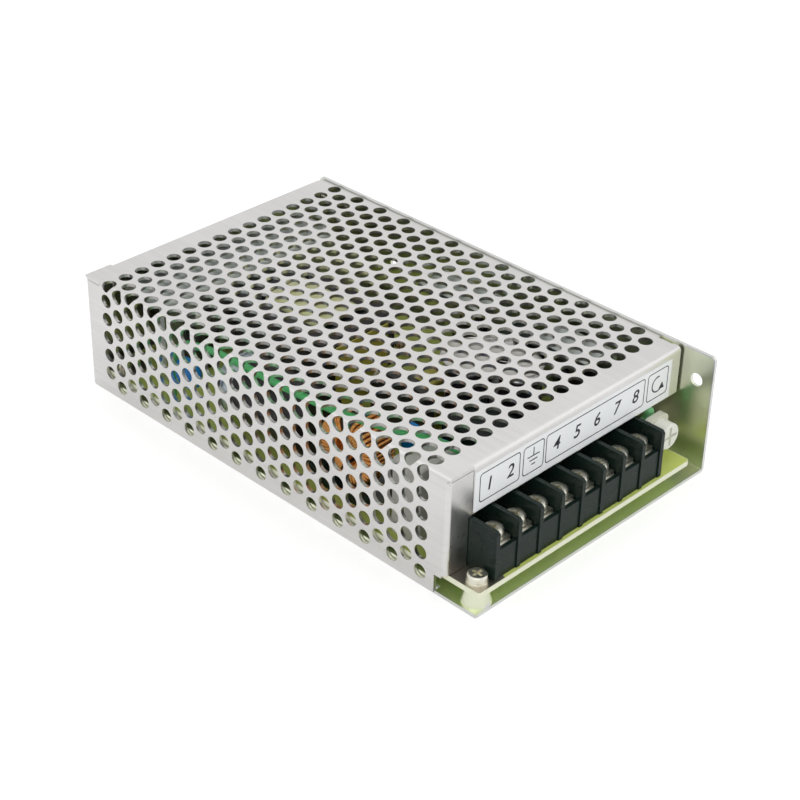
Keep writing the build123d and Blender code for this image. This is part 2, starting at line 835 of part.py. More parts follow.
# Rotor of the trimmer, turned with a screwdriver from the front
with BuildPart() as trimmer_rotor:
    with BuildSketch(Plane.XZ.offset(running_gap - trimmer_face)):
        with Locations((trimmer_x, trimmer_axis)):
            Circle(rotor_size / 2)
    extrude(amount=rotor_length)
    fillet(trimmer_rotor.edges().group_by(Axis.Y)[0], rotor_slot / 2)
    with BuildSketch(Plane.XZ.offset(running_gap + rotor_length - trimmer_face)):
        with Locations((trimmer_x, trimmer_axis)):
            for turn in (0, 90):
                Rectangle(rotor_slot, rotor_size - 2 * rotor_slot, rotation=turn)
    extrude(amount=-rotor_slot_depth, mode=Mode.SUBTRACT)
    with BuildSketch(Plane.XZ.offset(running_gap - trimmer_face)):
        with Locations((trimmer_x, trimmer_axis)):
            Circle(rotor_pin / 2)
    extrude(amount=-rotor_pin_length)
trimmer_rotor.part.label = "trimmer_rotor"
export_step(trimmer_rotor.part, "parts/trimmer_rotor.step")

# Lamp on its two leads
with BuildPart() as power_led:
    with Locations((lamp_x, lamp_y, board_top + lamp_lift)):
        Cylinder(lamp_rim / 2, lamp_rim_height, align=(Align.CENTER, Align.CENTER, Align.MIN))
        Cylinder(
            lamp_size / 2,
            lamp_height - lamp_size / 2,
            align=(Align.CENTER, Align.CENTER, Align.MIN),
        )
    with Locations((lamp_x, lamp_y, board_top + lamp_lift + lamp_height - lamp_size / 2)):
        Sphere(lamp_size / 2)
    with Locations((lamp_x, lamp_y, board_top)):
        with GridLocations(lamp_lead_pitch, 1, 2, 1):
            Box(lamp_lead, lamp_lead, lamp_lift, align=(Align.CENTER, Align.CENTER, Align.MIN))
power_led.part.label = "power_led"
export_step(power_led.part, "parts/power_led.step")

# Rear heatsink, an angle with its flange towards the rear
with BuildPart() as rear_heatsink:
    with BuildSketch(lengthwise(rear_sink_from_left)):
        with BuildLine():
            FilletPolyline(
                (rear_sink_face, board_top),
                (rear_sink_face, board_top + heatsink_height),
                (rear_sink_face + rear_sink_depth, board_top + heatsink_height),
                radius=heatsink_bend + heatsink_sheet,
            )
            offset(amount=heatsink_sheet, side=Side.RIGHT)
        make_face()
    extrude(amount=rear_sink_width)
    with BuildSketch(across(rear_sink_from_rear)):
        with Locations((transistor_x, sink_hole)):
            Circle(screw_size / 2)
    extrude(amount=-heatsink_sheet, mode=Mode.SUBTRACT)
rear_heatsink.part.label = "rear_heatsink"
export_step(rear_heatsink.part, "parts/rear_heatsink.step")

# Side heatsinks, angles with their flanges over the board
with BuildPart() as side_heatsink_rear:
    with BuildSketch(across(side_sink_rear[0])):
        with BuildLine():
            FilletPolyline(
                (side_sink_face + heatsink_sheet, board_top),
                (side_sink_face + heatsink_sheet, board_top + heatsink_height),
                (side_sink_face + heatsink_sheet - side_sink_depth, board_top + heatsink_height),
                radius=heatsink_bend + heatsink_sheet,
            )
            offset(amount=heatsink_sheet, side=Side.LEFT)
        make_face()
    extrude(amount=side_sink_rear[1])
    with BuildSketch(Plane.YZ.offset(side_sink_face)):
        with Locations((diode_places[0], sink_hole)):
            Circle(screw_size / 2)
    extrude(amount=heatsink_sheet, mode=Mode.SUBTRACT)
side_heatsink_rear.part.label = "side_heatsink_rear"
export_step(side_heatsink_rear.part, "parts/side_heatsink_rear.step")

with BuildPart() as side_heatsink_front:
    with BuildSketch(Plane.XZ.offset(-front - side_sink_front[0] - side_sink_front[1])):
        with BuildLine():
            FilletPolyline(
                (side_sink_face + heatsink_sheet, board_top),
                (side_sink_face + heatsink_sheet, board_top + heatsink_height),
                (side_sink_face + heatsink_sheet - side_sink_depth, board_top + heatsink_height),
                radius=heatsink_bend + heatsink_sheet,
            )
            offset(amount=heatsink_sheet, side=Side.LEFT)
        make_face()
    extrude(amount=side_sink_front[1])
    with BuildSketch(Plane.YZ.offset(side_sink_face)):
        with Locations((diode_places[1], sink_hole)):
            Circle(screw_size / 2)
    extrude(amount=heatsink_sheet, mode=Mode.SUBTRACT)
side_heatsink_front.part.label = "side_heatsink_front"
export_step(side_heatsink_front.part, "parts/side_heatsink_front.step")

# Transistor on the rear heatsink
with BuildPart() as switching_transistor:
    with Locations((transistor_x, rear_sink_face, board_top + package_lift)):
        Box(
            package_width,
            package_tab,
            package_tab_height,
            align=(Align.CENTER, Align.MAX, Align.MIN),
        )
        Box(package_width, package_depth, package_height, align=(Align.CENTER, Align.MAX, Align.MIN))
    with Locations((transistor_x, rear_sink_face - package_lead_depth, board_top)):
        with GridLocations(package_lead_pitch, 1, 3, 1):
            Box(
                package_lead,
                package_lead,
                package_lift,
                align=(Align.CENTER, Align.CENTER, Align.MIN),
            )
    with BuildSketch(across(rear_sink_from_rear)):
        with Locations((transistor_x, sink_hole)):
            Circle(screw_size / 2)
    extrude(amount=package_tab, mode=Mode.SUBTRACT)
switching_transistor.part.label = "switching_transistor"
export_step(switching_transistor.part, "parts/switching_transistor.step")

# Diodes on the side heatsinks
with BuildPart() as rectifier_diodes:
    with Locations(*[(side_sink_face, y, board_top + package_lift) for y in diode_places]):
        Box(
            package_tab,
            package_width,
            package_tab_height,
            align=(Align.MAX, Align.CENTER, Align.MIN),
        )
        Box(package_depth, package_width, package_height, align=(Align.MAX, Align.CENTER, Align.MIN))
    with Locations(*[(side_sink_face - package_lead_depth, y, board_top) for y in diode_places]):
        with GridLocations(1, package_lead_pitch, 1, 3):
            Box(
                package_lead,
                package_lead,
                package_lift,
                align=(Align.CENTER, Align.CENTER, Align.MIN),
            )
    with BuildSketch(Plane.YZ.offset(side_sink_face)):
        with Locations(*[(y, sink_hole) for y in diode_places]):
            Circle(screw_size / 2)
    extrude(amount=-package_tab, mode=Mode.SUBTRACT)
rectifier_diodes.part.label = "rectifier_diodes"
export_step(rectifier_diodes.part, "parts/rectifier_diodes.step")

# Screws that hold the packages to the heatsinks
package_faces = [Plane((transistor_x, rear_sink_face - package_tab, sink_hole), z_dir=(0, -1, 0))]
for y in diode_places:
    package_faces.append(Plane((side_sink_face - package_tab, y, sink_hole), z_dir=(-1, 0, 0)))
with BuildPart() as heatsink_screws:
    with Locations(*package_faces):
        Cylinder(pan_head / 2, pan_head_height, align=(Align.CENTER, Align.CENTER, Align.MIN))
        Cylinder(thread_radius, heatsink_screw_length, align=(Align.CENTER, Align.CENTER, Align.MAX))
heatsink_screws.part.label = "heatsink_screws"
export_step(heatsink_screws.part, "parts/heatsink_screws.step")

# Transformer core: two yokes, two outer legs and a centre leg
with BuildPart() as transformer_core:
    with Locations((core_x, core_y, core_z)):
        Box(core_width, core_length, core_height)
        Box(core_width - 2 * core_yoke, core_window, core_height, mode=Mode.SUBTRACT)
        Box(core_leg, core_length, core_leg)
    chamfer(transformer_core.edges().filter_by(Axis.Z).group_by(Axis.Y)[0], box_round)
    chamfer(transformer_core.edges().filter_by(Axis.Z).group_by(Axis.Y)[-1], box_round)
transformer_core.part.label = "transformer_core"
export_step(transformer_core.part, "parts/transformer_core.step")

# Transformer bobbin: a square tube with two cheeks on pin rails
with BuildPart() as transformer_bobbin:
    with Locations((core_x, core_y, core_z)):
        Box(tube_size, tube_length, tube_size)
        with GridLocations(1, tube_length - bobbin_wall, 1, 2):
            Box(bobbin_cheek[0], bobbin_wall, bobbin_cheek[1])
    with Locations((core_x, core_y, board_top)):
        with GridLocations(1, tube_length - 2 * bobbin_wall + bobbin_rail[1], 1, 2):
            Box(
                bobbin_rail[0],
                bobbin_rail[1],
                core_lift,
                align=(Align.CENTER, Align.CENTER, Align.MIN),
            )
    with Locations((core_x, core_y, core_z)):
        Box(
            core_leg + 2 * bobbin_gap,
            tube_length,
            core_leg + 2 * bobbin_gap,
            mode=Mode.SUBTRACT,
        )
transformer_bobbin.part.label = "transformer_bobbin"
export_step(transformer_bobbin.part, "parts/transformer_bobbin.step")

# Transformer winding, wrapped in tape
with BuildPart() as transformer_winding:
    with BuildSketch(Plane.XZ.offset(-core_y)):
        with Locations((core_x, core_z)):
            RectangleRounded(winding_size[0], winding_size[1], winding_round)
            Rectangle(
                tube_size + 2 * winding_gap, tube_size + 2 * winding_gap, mode=Mode.SUBTRACT
            )
    extrude(amount=tube_length / 2 - bobbin_wall - winding_gap, both=True)
transformer_winding.part.label = "transformer_winding"
export_step(transformer_winding.part, "parts/transformer_winding.step")

# Mains capacitor, which lies on the board with a rolled groove near its closed end
bulk_x = left + bulk_from_left
bulk_z = board_top + bulk_size / 2
with BuildPart() as bulk_capacitor:
    with BuildSketch(across(bulk_from_rear)):
        with Locations((bulk_x, bulk_z)):
            Circle(bulk_size / 2)
    extrude(amount=bulk_length)
    chamfer(bulk_capacitor.edges().filter_by(GeomType.CIRCLE), can_edge)
    with BuildSketch(across(bulk_from_rear + groove_from_end)):
        with Locations((bulk_x, bulk_z)):
            Circle(bulk_size / 2)
            Circle(bulk_size / 2 - groove, mode=Mode.SUBTRACT)
    extrude(amount=groove_width, mode=Mode.SUBTRACT)
bulk_capacitor.part.label = "bulk_capacitor"
export_step(bulk_capacitor.part, "parts/bulk_capacitor.step")

# Choke ring, which stands along the case
with BuildPart() as choke_core:
    with BuildSketch(Plane.YZ.offset(choke_x)):
        with Locations((choke_y, choke_z)):
            Circle(choke_ring[0])
            Circle(choke_ring[1], mode=Mode.SUBTRACT)
    extrude(amount=choke_ring_width / 2, both=True)
    chamfer(choke_core.edges().filter_by(GeomType.CIRCLE), can_edge)
choke_core.part.label = "choke_core"
export_step(choke_core.part, "parts/choke_core.step")

# Choke windings, one round each side of the ring
choke_axis = Axis((choke_x, choke_y, choke_z), (1, 0, 0))
with BuildPart() as choke_windings:
    for side in (-1, 1):
        start = Plane(
            (choke_x, choke_y, choke_z),
            x_dir=(1, 0, 0),
            z_dir=(0, sin(radians(side * 90 - choke_arc / 2)), -cos(radians(side * 90 - choke_arc / 2))),
        )
        with BuildSketch(start):
            with Locations((0, (choke_turns[0] + choke_turns[1]) / 2)):
                Rectangle(choke_turns_width, choke_turns[0] - choke_turns[1])
                Rectangle(
                    choke_ring_width + 2 * choke_gap,
                    choke_ring[0] - choke_ring[1] + 2 * choke_gap,
                    mode=Mode.SUBTRACT,
                )
        revolve(axis=choke_axis, revolution_arc=choke_arc)
choke_windings.part.label = "choke_windings"
export_step(choke_windings.part, "parts/choke_windings.step")

# Base of the choke, with a round seat
with BuildPart() as choke_base:
    with Locations((choke_x, choke_y, board_top)):
        Box(*choke_base_size, align=(Align.CENTER, Align.CENTER, Align.MIN))
    with BuildSketch(Plane.YZ.offset(choke_x)):
        with Locations((choke_y, choke_z)):
            Circle(choke_turns[0] + choke_gap)
    extrude(amount=choke_base_size[0] / 2, both=True, mode=Mode.SUBTRACT)
choke_base.part.label = "choke_base"
export_step(choke_base.part, "parts/choke_base.step")


def boxed(box, lift=0.0):
    """Left front lower corner and size of a boxed component."""
    return (*fore(*box[:2]), board_top + lift), box[2:]


# Interference capacitor behind the fuse
with BuildPart() as film_capacitor:
    corner, size = boxed(film_box)
    with Locations(corner):
        Box(*size, align=(Align.MIN, Align.MIN, Align.MIN))
    upright = film_capacitor.edges().filter_by(Axis.Z)
    fillet(upright + film_capacitor.edges().group_by(Axis.Z)[-1], box_round)
film_capacitor.part.label = "film_capacitor"
export_step(film_capacitor.part, "parts/film_capacitor.step")

# Small filter capacitor of the output
with BuildPart() as line_filter_capacitor:
    corner, size = boxed(filter_box)
    with Locations(corner):
        Box(*size, align=(Align.MIN, Align.MIN, Align.MIN))
    upright = line_filter_capacitor.edges().filter_by(Axis.Z)
    fillet(upright + line_filter_capacitor.edges().group_by(Axis.Z)[-1], box_round)
line_filter_capacitor.part.label = "line_filter_capacitor"
export_step(line_filter_capacitor.part, "parts/line_filter_capacitor.step")

# Relay
with BuildPart() as relay:
    corner, size = boxed(relay_box)
    with Locations(corner):
        Box(*size, align=(Align.MIN, Align.MIN, Align.MIN))
    chamfer(relay.edges().group_by(Axis.Z)[-1], box_round)
relay.part.label = "relay"
export_step(relay.part, "parts/relay.step")

# Output inductor in its case
with BuildPart() as output_inductor:
    corner, size = boxed(inductor_box)
    with Locations(corner):
        Box(*size, align=(Align.MIN, Align.MIN, Align.MIN))
    fillet(output_inductor.edges().filter_by(Axis.Z), 2 * box_round)
    fillet(output_inductor.edges().group_by(Axis.Z)[-1], box_round)
output_inductor.part.label = "output_inductor"
export_step(output_inductor.part, "parts/output_inductor.step")

# Bridge rectifier, upright on its four leads
with BuildPart() as bridge_rectifier:
    corner, size = boxed(bridge_box, bridge_lift)
    with Locations(corner):
        Box(*size, align=(Align.MIN, Align.MIN, Align.MIN))
    top_edges = bridge_rectifier.edges().filter_by(Axis.X).group_by(Axis.Z)[-1]
    chamfer(top_edges.sort_by(Axis.Y)[-1], bridge_chamfer)
    with Locations((corner[0] + size[0] / 2, corner[1] + size[1] / 2, board_top)):
        with GridLocations(1, 2 * package_lead_pitch, 1, 4):
            Box(
                package_lead,
                package_lead,
                bridge_lift,
                align=(Align.CENTER, Align.CENTER, Align.MIN),
            )
bridge_rectifier.part.label = "bridge_rectifier"
export_step(bridge_rectifier.part, "parts/bridge_rectifier.step")

# Insulating barrier that stands across the board
with BuildPart() as insulating_barrier:
    corner, size = boxed(barrier_box)
    with Locations(corner):
        Box(*size, align=(Align.MIN, Align.MIN, Align.MIN))
insulating_barrier.part.label = "insulating_barrier"
export_step(insulating_barrier.part, "parts/insulating_barrier.step")

# Output capacitors, each with a rolled groove above its foot
with BuildPart() as output_capacitors:
    with Locations(*[(*fore(*place), board_top) for place in output_spots]):
        Cylinder(output_can[0] / 2, output_can[1], align=(Align.CENTER, Align.CENTER, Align.MIN))
    chamfer(output_capacitors.edges().filter_by(GeomType.CIRCLE), can_edge)
    with BuildSketch(Plane.XY.offset(board_top + groove_from_end)):
        with Locations(*[fore(*place) for place in output_spots]):
            Circle(output_can[0] / 2)
            Circle(output_can[0] / 2 - groove, mode=Mode.SUBTRACT)
    extrude(amount=groove_width, mode=Mode.SUBTRACT)
output_capacitors.part.label = "output_capacitors"
export_step(output_capacitors.part, "parts/output_capacitors.step")

# Small capacitors
small_places = [spot(*place) for place in small_rear_spots]
small_places += [fore(*place) for place in small_front_spots]
with BuildPart() as small_capacitors:
    with Locations(*[(x, y, board_top) for x, y in small_places]):
        Cylinder(small_can[0] / 2, small_can[1], align=(Align.CENTER, Align.CENTER, Align.MIN))
    chamfer(small_capacitors.edges().filter_by(GeomType.CIRCLE), can_edge)
    with BuildSketch(Plane.XY.offset(board_top + groove_from_end)):
        with Locations(*small_places):
            Circle(small_can[0] / 2)
            Circle(small_can[0] / 2 - groove, mode=Mode.SUBTRACT)
    extrude(amount=groove_width, mode=Mode.SUBTRACT)
small_capacitors.part.label = "small_capacitors"
export_step(small_capacitors.part, "parts/small_capacitors.step")

# Disc capacitors, each on two leads
disc_places = [spot(*disc_rear_spot)] + [fore(*place) for place in disc_front_spots]
with BuildPart() as ceramic_capacitors:
    for x, y in disc_places:
        with BuildSketch(Plane.YZ.offset(x)):
            with Locations((y, board_top + disc_lift + disc_size / 2)):
                Circle(disc_size / 2)
        extrude(amount=disc_sheet / 2, both=True)
    chamfer(ceramic_capacitors.edges().filter_by(GeomType.CIRCLE), disc_sheet / 2 - disc_lead)
    with Locations(*[(x, y, board_top) for x, y in disc_places]):
        with GridLocations(1, disc_lead_pitch, 1, 2):
            Cylinder(
                disc_lead / 2,
                disc_lift + disc_size / 2,
                align=(Align.CENTER, Align.CENTER, Align.MIN),
            )
ceramic_capacitors.part.label = "ceramic_capacitors"
export_step(ceramic_capacitors.part, "parts/ceramic_capacitors.step")

# Inrush thermistor, a disc on two leads
thermistor_x, thermistor_y = fore(*thermistor_spot)
with BuildPart() as thermistor:
    with BuildSketch(Plane.XZ.offset(-thermistor_y - thermistor_sheet)):
        with Locations((thermistor_x, board_top + thermistor_lift + thermistor_size / 2)):
            Circle(thermistor_size / 2)
    extrude(amount=thermistor_sheet)
    chamfer(thermistor.edges().filter_by(GeomType.CIRCLE), can_edge)
    with Locations((thermistor_x, thermistor_y + thermistor_sheet / 2, board_top)):
        with GridLocations(disc_lead_pitch, 1, 2, 1):
            Cylinder(
                disc_lead / 2,
                thermistor_lift + thermistor_size / 2,
                align=(Align.CENTER, Align.CENTER, Align.MIN),
            )
thermistor.part.label = "thermistor"
export_step(thermistor.part, "parts/thermistor.step")

# Fuse, a tube with a cap at each end
fuse_x, fuse_y = fore(*fuse_spot)
fuse_z = board_top + fuse_height
with BuildPart() as fuse:
    with BuildSketch(Plane.YZ.offset(fuse_x)):
        with Locations((fuse_y, fuse_z)):
            Circle(fuse_size / 2)
    extrude(amount=fuse_length / 2, both=True)
    for end in (-1, 1):
        with BuildSketch(Plane.YZ.offset(fuse_x + end * fuse_length / 2)):
            with Locations((fuse_y, fuse_z)):
                Circle(fuse_size / 2 + fuse_cap_sheet)
        extrude(amount=-end * fuse_cap)
fuse.part.label = "fuse"
export_step(fuse.part, "parts/fuse.step")

# Clips that hold the fuse by its caps
clip_inside = fuse_size / 2 + fuse_cap_sheet + clip_gap
with BuildPart() as fuse_clips:
    for end in (-1, 1):
        with BuildSketch(Plane.YZ.offset(fuse_x + end * fuse_length / 2)):
            with BuildLine():
                FilletPolyline(
                    (fuse_y - clip_inside, fuse_z + clip_inside),
                    (fuse_y - clip_inside, board_top + clip_sheet),
                    (fuse_y + clip_inside, board_top + clip_sheet),
                    (fuse_y + clip_inside, fuse_z + clip_inside),
                    radius=clip_bend,
                )
                offset(amount=clip_sheet, side=Side.RIGHT)
            make_face()
        extrude(amount=-end * fuse_cap)
fuse_clips.part.label = "fuse_clips"
export_step(fuse_clips.part, "parts/fuse_clips.step")

# Control chips with four legs on each long side
with BuildPart() as control_chips:
    with Locations(*[(*spot(*place), board_top + chip_lift) for place in chip_spots]):
        Box(*chip_size, align=(Align.CENTER, Align.CENTER, Align.MIN))
    chamfer(control_chips.edges().group_by(Axis.Z)[-1], chip_lift / 2)
    with Locations(*[(*spot(*place), board_top + chip_size[2] / 2) for place in chip_spots]):
        with GridLocations(1, chip_lead_pitch, 1, 4):
            Box(chip_reach, chip_lead, chip_lead)
    with Locations(*[(*spot(*place), board_top) for place in chip_spots]):
        with GridLocations(chip_reach - chip_lead, chip_lead_pitch, 2, 4):
            Box(
                chip_lead,
                chip_lead,
                chip_size[2] / 2,
                align=(Align.CENTER, Align.CENTER, Align.MIN),
            )
control_chips.part.label = "control_chips"
export_step(control_chips.part, "parts/control_chips.step")

# Resistors that lie on their bent leads
with BuildPart() as resistors:
    for place in resistor_spots:
        x, y = spot(*place)
        z = board_top + resistor_lift + resistor_size / 2
        with Locations(Plane((x, y, z), z_dir=(0, 1, 0))):
            Cylinder(resistor_size / 2, resistor_length)
            Cylinder(resistor_lead / 2, resistor_reach)
        with Locations((x, y, board_top)):
            with GridLocations(1, resistor_reach - resistor_lead, 1, 2):
                Cylinder(
                    resistor_lead / 2,
                    resistor_lift + resistor_size / 2,
                    align=(Align.CENTER, Align.CENTER, Align.MIN),
                )
resistors.part.label = "resistors"
export_step(resistors.part, "parts/resistors.step")


def bend_radii(points):
    """Radius at each corner, 0.45 of the shorter run over the tangent of half the turn."""
    radii = []
    for before, corner, after in zip(points, points[1:], points[2:]):
        turn = (corner - before).get_angle(after - corner)
        shorter = min((corner - before).length, (after - corner).length)
        radii.append(0.45 * shorter / tan(radians(turn / 2)))
    return radii


# Insulated lead over the components of the left side
route = [Vector(*spot(*point[:2]), board_top + point[2]) for point in lead_rear_points]
route += [Vector(*fore(*point[:2]), board_top + point[2]) for point in lead_front_points]
route_radii = bend_radii(route)
with BuildPart() as green_lead:
    with BuildLine() as lead_path:
        FilletPolyline(*route, radius=route_radii)
    with BuildSketch(Plane(route[0], z_dir=route[1] - route[0])):
        Circle(lead_size / 2)
    sweep()
green_lead.part.label = "green_lead"
export_step(green_lead.part, "parts/green_lead.step")
print("green_lead radii", [round(radius, 1) for radius in route_radii])
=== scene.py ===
import math

import bmesh
import bpy
from mathutils import Matrix, Vector


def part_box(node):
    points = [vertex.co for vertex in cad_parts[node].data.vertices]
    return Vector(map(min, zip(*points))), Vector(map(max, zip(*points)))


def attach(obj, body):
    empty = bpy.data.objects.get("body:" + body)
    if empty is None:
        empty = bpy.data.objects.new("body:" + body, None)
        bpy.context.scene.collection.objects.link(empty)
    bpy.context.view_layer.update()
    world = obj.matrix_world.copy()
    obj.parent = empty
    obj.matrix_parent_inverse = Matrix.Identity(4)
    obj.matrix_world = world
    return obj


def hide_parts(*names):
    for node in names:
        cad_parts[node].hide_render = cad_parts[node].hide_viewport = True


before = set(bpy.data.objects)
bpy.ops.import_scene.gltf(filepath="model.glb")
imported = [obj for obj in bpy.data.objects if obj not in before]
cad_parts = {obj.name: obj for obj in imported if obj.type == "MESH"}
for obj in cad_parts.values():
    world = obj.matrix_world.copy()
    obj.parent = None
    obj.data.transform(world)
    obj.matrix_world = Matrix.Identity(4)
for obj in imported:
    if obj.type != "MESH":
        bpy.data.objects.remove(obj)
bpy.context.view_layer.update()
mm = 0.001
touching = 0.01 * mm  # points closer than this count as one
facing = 0.9  # a face looks along an axis where its normal is past this
ways = range(1, 9)  # of the terminal block
print("frame loaded:", len(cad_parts), "nodes")


# Small helpers for modelling by operators
def deselectAll():
    active = bpy.context.view_layer.objects.active
    if active and active.mode != "OBJECT":
        bpy.ops.object.mode_set(mode="OBJECT")
    bpy.ops.object.select_all(action="DESELECT")


def pickObjects(*pieces):
    deselectAll()
    for piece in pieces:
        piece.select_set(True)
    bpy.context.view_layer.objects.active = pieces[0]


def named(name):
    piece = bpy.context.object
    piece.name = name
    piece.data.name = name
    return piece


def editPiece(piece, action="DESELECT", kind="FACE"):
    pickObjects(piece)
    bpy.ops.object.mode_set(mode="EDIT")
    bpy.ops.mesh.select_mode(type=kind)
    bpy.ops.mesh.select_all(action=action)


def pickFaces(piece, wanted):  # wanted tells of a face whether it is selected
    mesh = bmesh.from_edit_mesh(piece.data)
    for face in mesh.faces:
        face.select_set(wanted(face))
    bmesh.update_edit_mesh(piece.data)


def pickEdges(piece, wanted):
    mesh = bmesh.from_edit_mesh(piece.data)
    for edge in mesh.edges:
        edge.select_set(wanted(edge))
    bmesh.update_edit_mesh(piece.data)


def settle(piece):  # its place goes into its mesh, and its object to the origin
    pickObjects(piece)
    bpy.ops.object.transform_apply(location=True, rotation=True, scale=True)


def closeAndTurnOut(piece, join=0.002 * mm):
    editPiece(piece, action="SELECT", kind="VERT")
    bpy.ops.mesh.remove_doubles(threshold=join)
    bpy.ops.mesh.normals_make_consistent(inside=False)
    bpy.ops.object.mode_set(mode="OBJECT")


def applyModifiers(piece):
    pickObjects(piece)
    for modifier in list(piece.modifiers):
        bpy.ops.object.modifier_apply(modifier=modifier.name)


def addPlate(name, width, height, place=(0, 0, 0)):
    deselectAll()
    bpy.ops.mesh.primitive_plane_add(size=1, location=(0, 0, 0))
    plate = named(name)
    plate.scale = (width, height, 1)
    plate.location = place
    settle(plate)
    return plate


def addBlock(name, size, place=(0, 0, 0), turnDeg=0):
    deselectAll()
    bpy.ops.mesh.primitive_cube_add(size=1, location=(0, 0, 0))
    block = named(name)
    block.scale = size
    block.location = place
    block.rotation_euler.z = math.radians(turnDeg)
    settle(block)
    return block


def addWire(name, corners):  # a line of edges through the corners, selected in edit mode
    deselectAll()
    bpy.ops.mesh.primitive_plane_add(size=1, location=(0, 0, 0))
    wire = named(name)
    editPiece(wire, action="SELECT", kind="VERT")
    bpy.ops.mesh.delete(type="VERT")
    mesh = bmesh.from_edit_mesh(wire.data)
    points = [mesh.verts.new(corner) for corner in corners]
    for first, second in zip(points, points[1:]):
        mesh.edges.new((first, second))
    bmesh.update_edit_mesh(wire.data)
    bpy.ops.mesh.select_mode(type="EDGE")
    bpy.ops.mesh.select_all(action="SELECT")
    return wire


def spinWire(wire, steps, spanDeg):  # about the Z axis
    bpy.ops.mesh.spin(steps=steps, angle=math.radians(spanDeg), center=(0, 0, 0), axis=(0, 0, 1))
    bpy.ops.object.mode_set(mode="OBJECT")
    closeAndTurnOut(wire)


def thicken(piece, thickness):  # half of it on each side
    layer = piece.modifiers.new("layer", "SOLIDIFY")
    layer.thickness = thickness
    layer.offset = 0
    applyModifiers(piece)


def copyOf(piece, name, move=(0, 0, 0)):  # with its own mesh, moved in the mesh
    twin = piece.copy()
    twin.data = piece.data.copy()
    bpy.context.scene.collection.objects.link(twin)
    twin.name = name
    twin.data.name = name
    twin.data.transform(Matrix.Translation(Vector(move)))
    return twin


def joined(pieces, name):
    pickObjects(*pieces)
    if len(pieces) > 1:
        bpy.ops.object.join()
    return named(name)


def topCentres(node, depth, reach):  # middle and radius of each round top, from a node's highest points
    points = [vertex.co.copy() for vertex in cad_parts[node].data.vertices]
    top = max(point.z for point in points)
    clusters = []
    for point in points:
        if point.z < top - depth:
            continue
        for cluster in clusters:
            if (cluster[0] - point).length < reach:
                cluster.append(point)
                break
        else:
            clusters.append([point])
    result = []
    for cluster in clusters:
        lowX, highX = min(point.x for point in cluster), max(point.x for point in cluster)
        lowY, highY = min(point.y for point in cluster), max(point.y for point in cluster)
        centre = Vector(((lowX + highX) / 2, (lowY + highY) / 2, top))
        result.append((centre, (highX - lowX) / 2))
    return result


# Small helpers for materials
finishes = {}


def newSurface(name, metallic=0.0, roughness=0.5):
    surface = bpy.data.materials.new(name)
    surface.use_nodes = True
    finishes[name] = surface
    tree = surface.node_tree
    shader = tree.nodes["Principled BSDF"]
    shader.inputs["Metallic"].default_value = metallic
    shader.inputs["Roughness"].default_value = roughness
    return tree, shader


def setFinish(piece, finish):
    piece.data.materials.clear()
    piece.data.materials.append(finishes[finish])


def finished(piece, finish, body, smoothDeg=35):
    setFinish(piece, finish)
    pickObjects(piece)
    bpy.ops.object.shade_smooth_by_angle(angle=math.radians(smoothDeg))
    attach(piece, body)


def addNode(tree, kind, **values):
    node = tree.nodes.new(kind)
    for key, value in values.items():
        setattr(node, key, value)
    return node


def feed(tree, value, socket):  # value is a node's output, a number, a vector or a colour
    if isinstance(value, bpy.types.NodeSocket):
        tree.links.new(value, socket)
    elif socket.type == "RGBA":
        socket.default_value = (*value, 1)
    else:
        socket.default_value = value


def objectPlace(tree):
    return addNode(tree, "ShaderNodeTexCoord").outputs["Object"]


def mathStep(tree, operation, first, second):
    node = addNode(tree, "ShaderNodeMath", operation=operation)
    feed(tree, first, node.inputs[0])
    feed(tree, second, node.inputs[1])
    return node.outputs[0]


def vectorStep(tree, operation, *sides):
    node = addNode(tree, "ShaderNodeVectorMath", operation=operation)
    for side, socket in zip(sides, node.inputs):
        feed(tree, side, socket)
    measured = operation in ("DISTANCE", "DOT_PRODUCT", "LENGTH")
    return node.outputs["Value" if measured else "Vector"]


def spread(tree, value, low, high):  # turns a 0 to 1 value into one from low to high
    node = addNode(tree, "ShaderNodeMapRange")
    feed(tree, value, node.inputs["Value"])
    feed(tree, low, node.inputs["To Min"])
    feed(tree, high, node.inputs["To Max"])
    return node.outputs["Result"]


def blendColour(tree, mask, first, second):
    node = addNode(tree, "ShaderNodeMix", data_type="RGBA")
    feed(tree, mask, node.inputs[0])
    feed(tree, first, node.inputs[6])  # of the mix node's sockets, 6 and 7 take colours
    feed(tree, second, node.inputs[7])
    return node.outputs[2]


def addNoise(tree, place, scale, detail):
    node = addNode(tree, "ShaderNodeTexNoise")
    feed(tree, place, node.inputs["Vector"])
    feed(tree, scale, node.inputs["Scale"])
    feed(tree, detail, node.inputs["Detail"])
    return node.outputs["Fac"]


def addBands(tree, place, direction, scale, wander=0.0):
    node = addNode(tree, "ShaderNodeTexWave", wave_type="BANDS", bands_direction=direction)
    feed(tree, place, node.inputs["Vector"])
    feed(tree, scale, node.inputs["Scale"])
    feed(tree, wander, node.inputs["Distortion"])
    return node.outputs["Fac"]


def addBump(tree, shader, height, strength, relief):
    node = addNode(tree, "ShaderNodeBump")
    feed(tree, strength, node.inputs["Strength"])
    feed(tree, relief, node.inputs["Distance"])
    feed(tree, height, node.inputs["Height"])
    feed(tree, node.outputs["Normal"], shader.inputs["Normal"])


def newGroup(name, inputs, outputs):  # each input comes with its usual value, and outputs are numbers
    group = bpy.data.node_groups.new(name, "ShaderNodeTree")
    for label, value in inputs.items():
        kind = "NodeSocketVector" if isinstance(value, tuple) else "NodeSocketFloat"
        socket = group.interface.new_socket(name=label, in_out="INPUT", socket_type=kind)
        socket.default_value = value
    for label in outputs:
        group.interface.new_socket(name=label, in_out="OUTPUT", socket_type="NodeSocketFloat")
    return group, addNode(group, "NodeGroupInput").outputs, addNode(group, "NodeGroupOutput").inputs


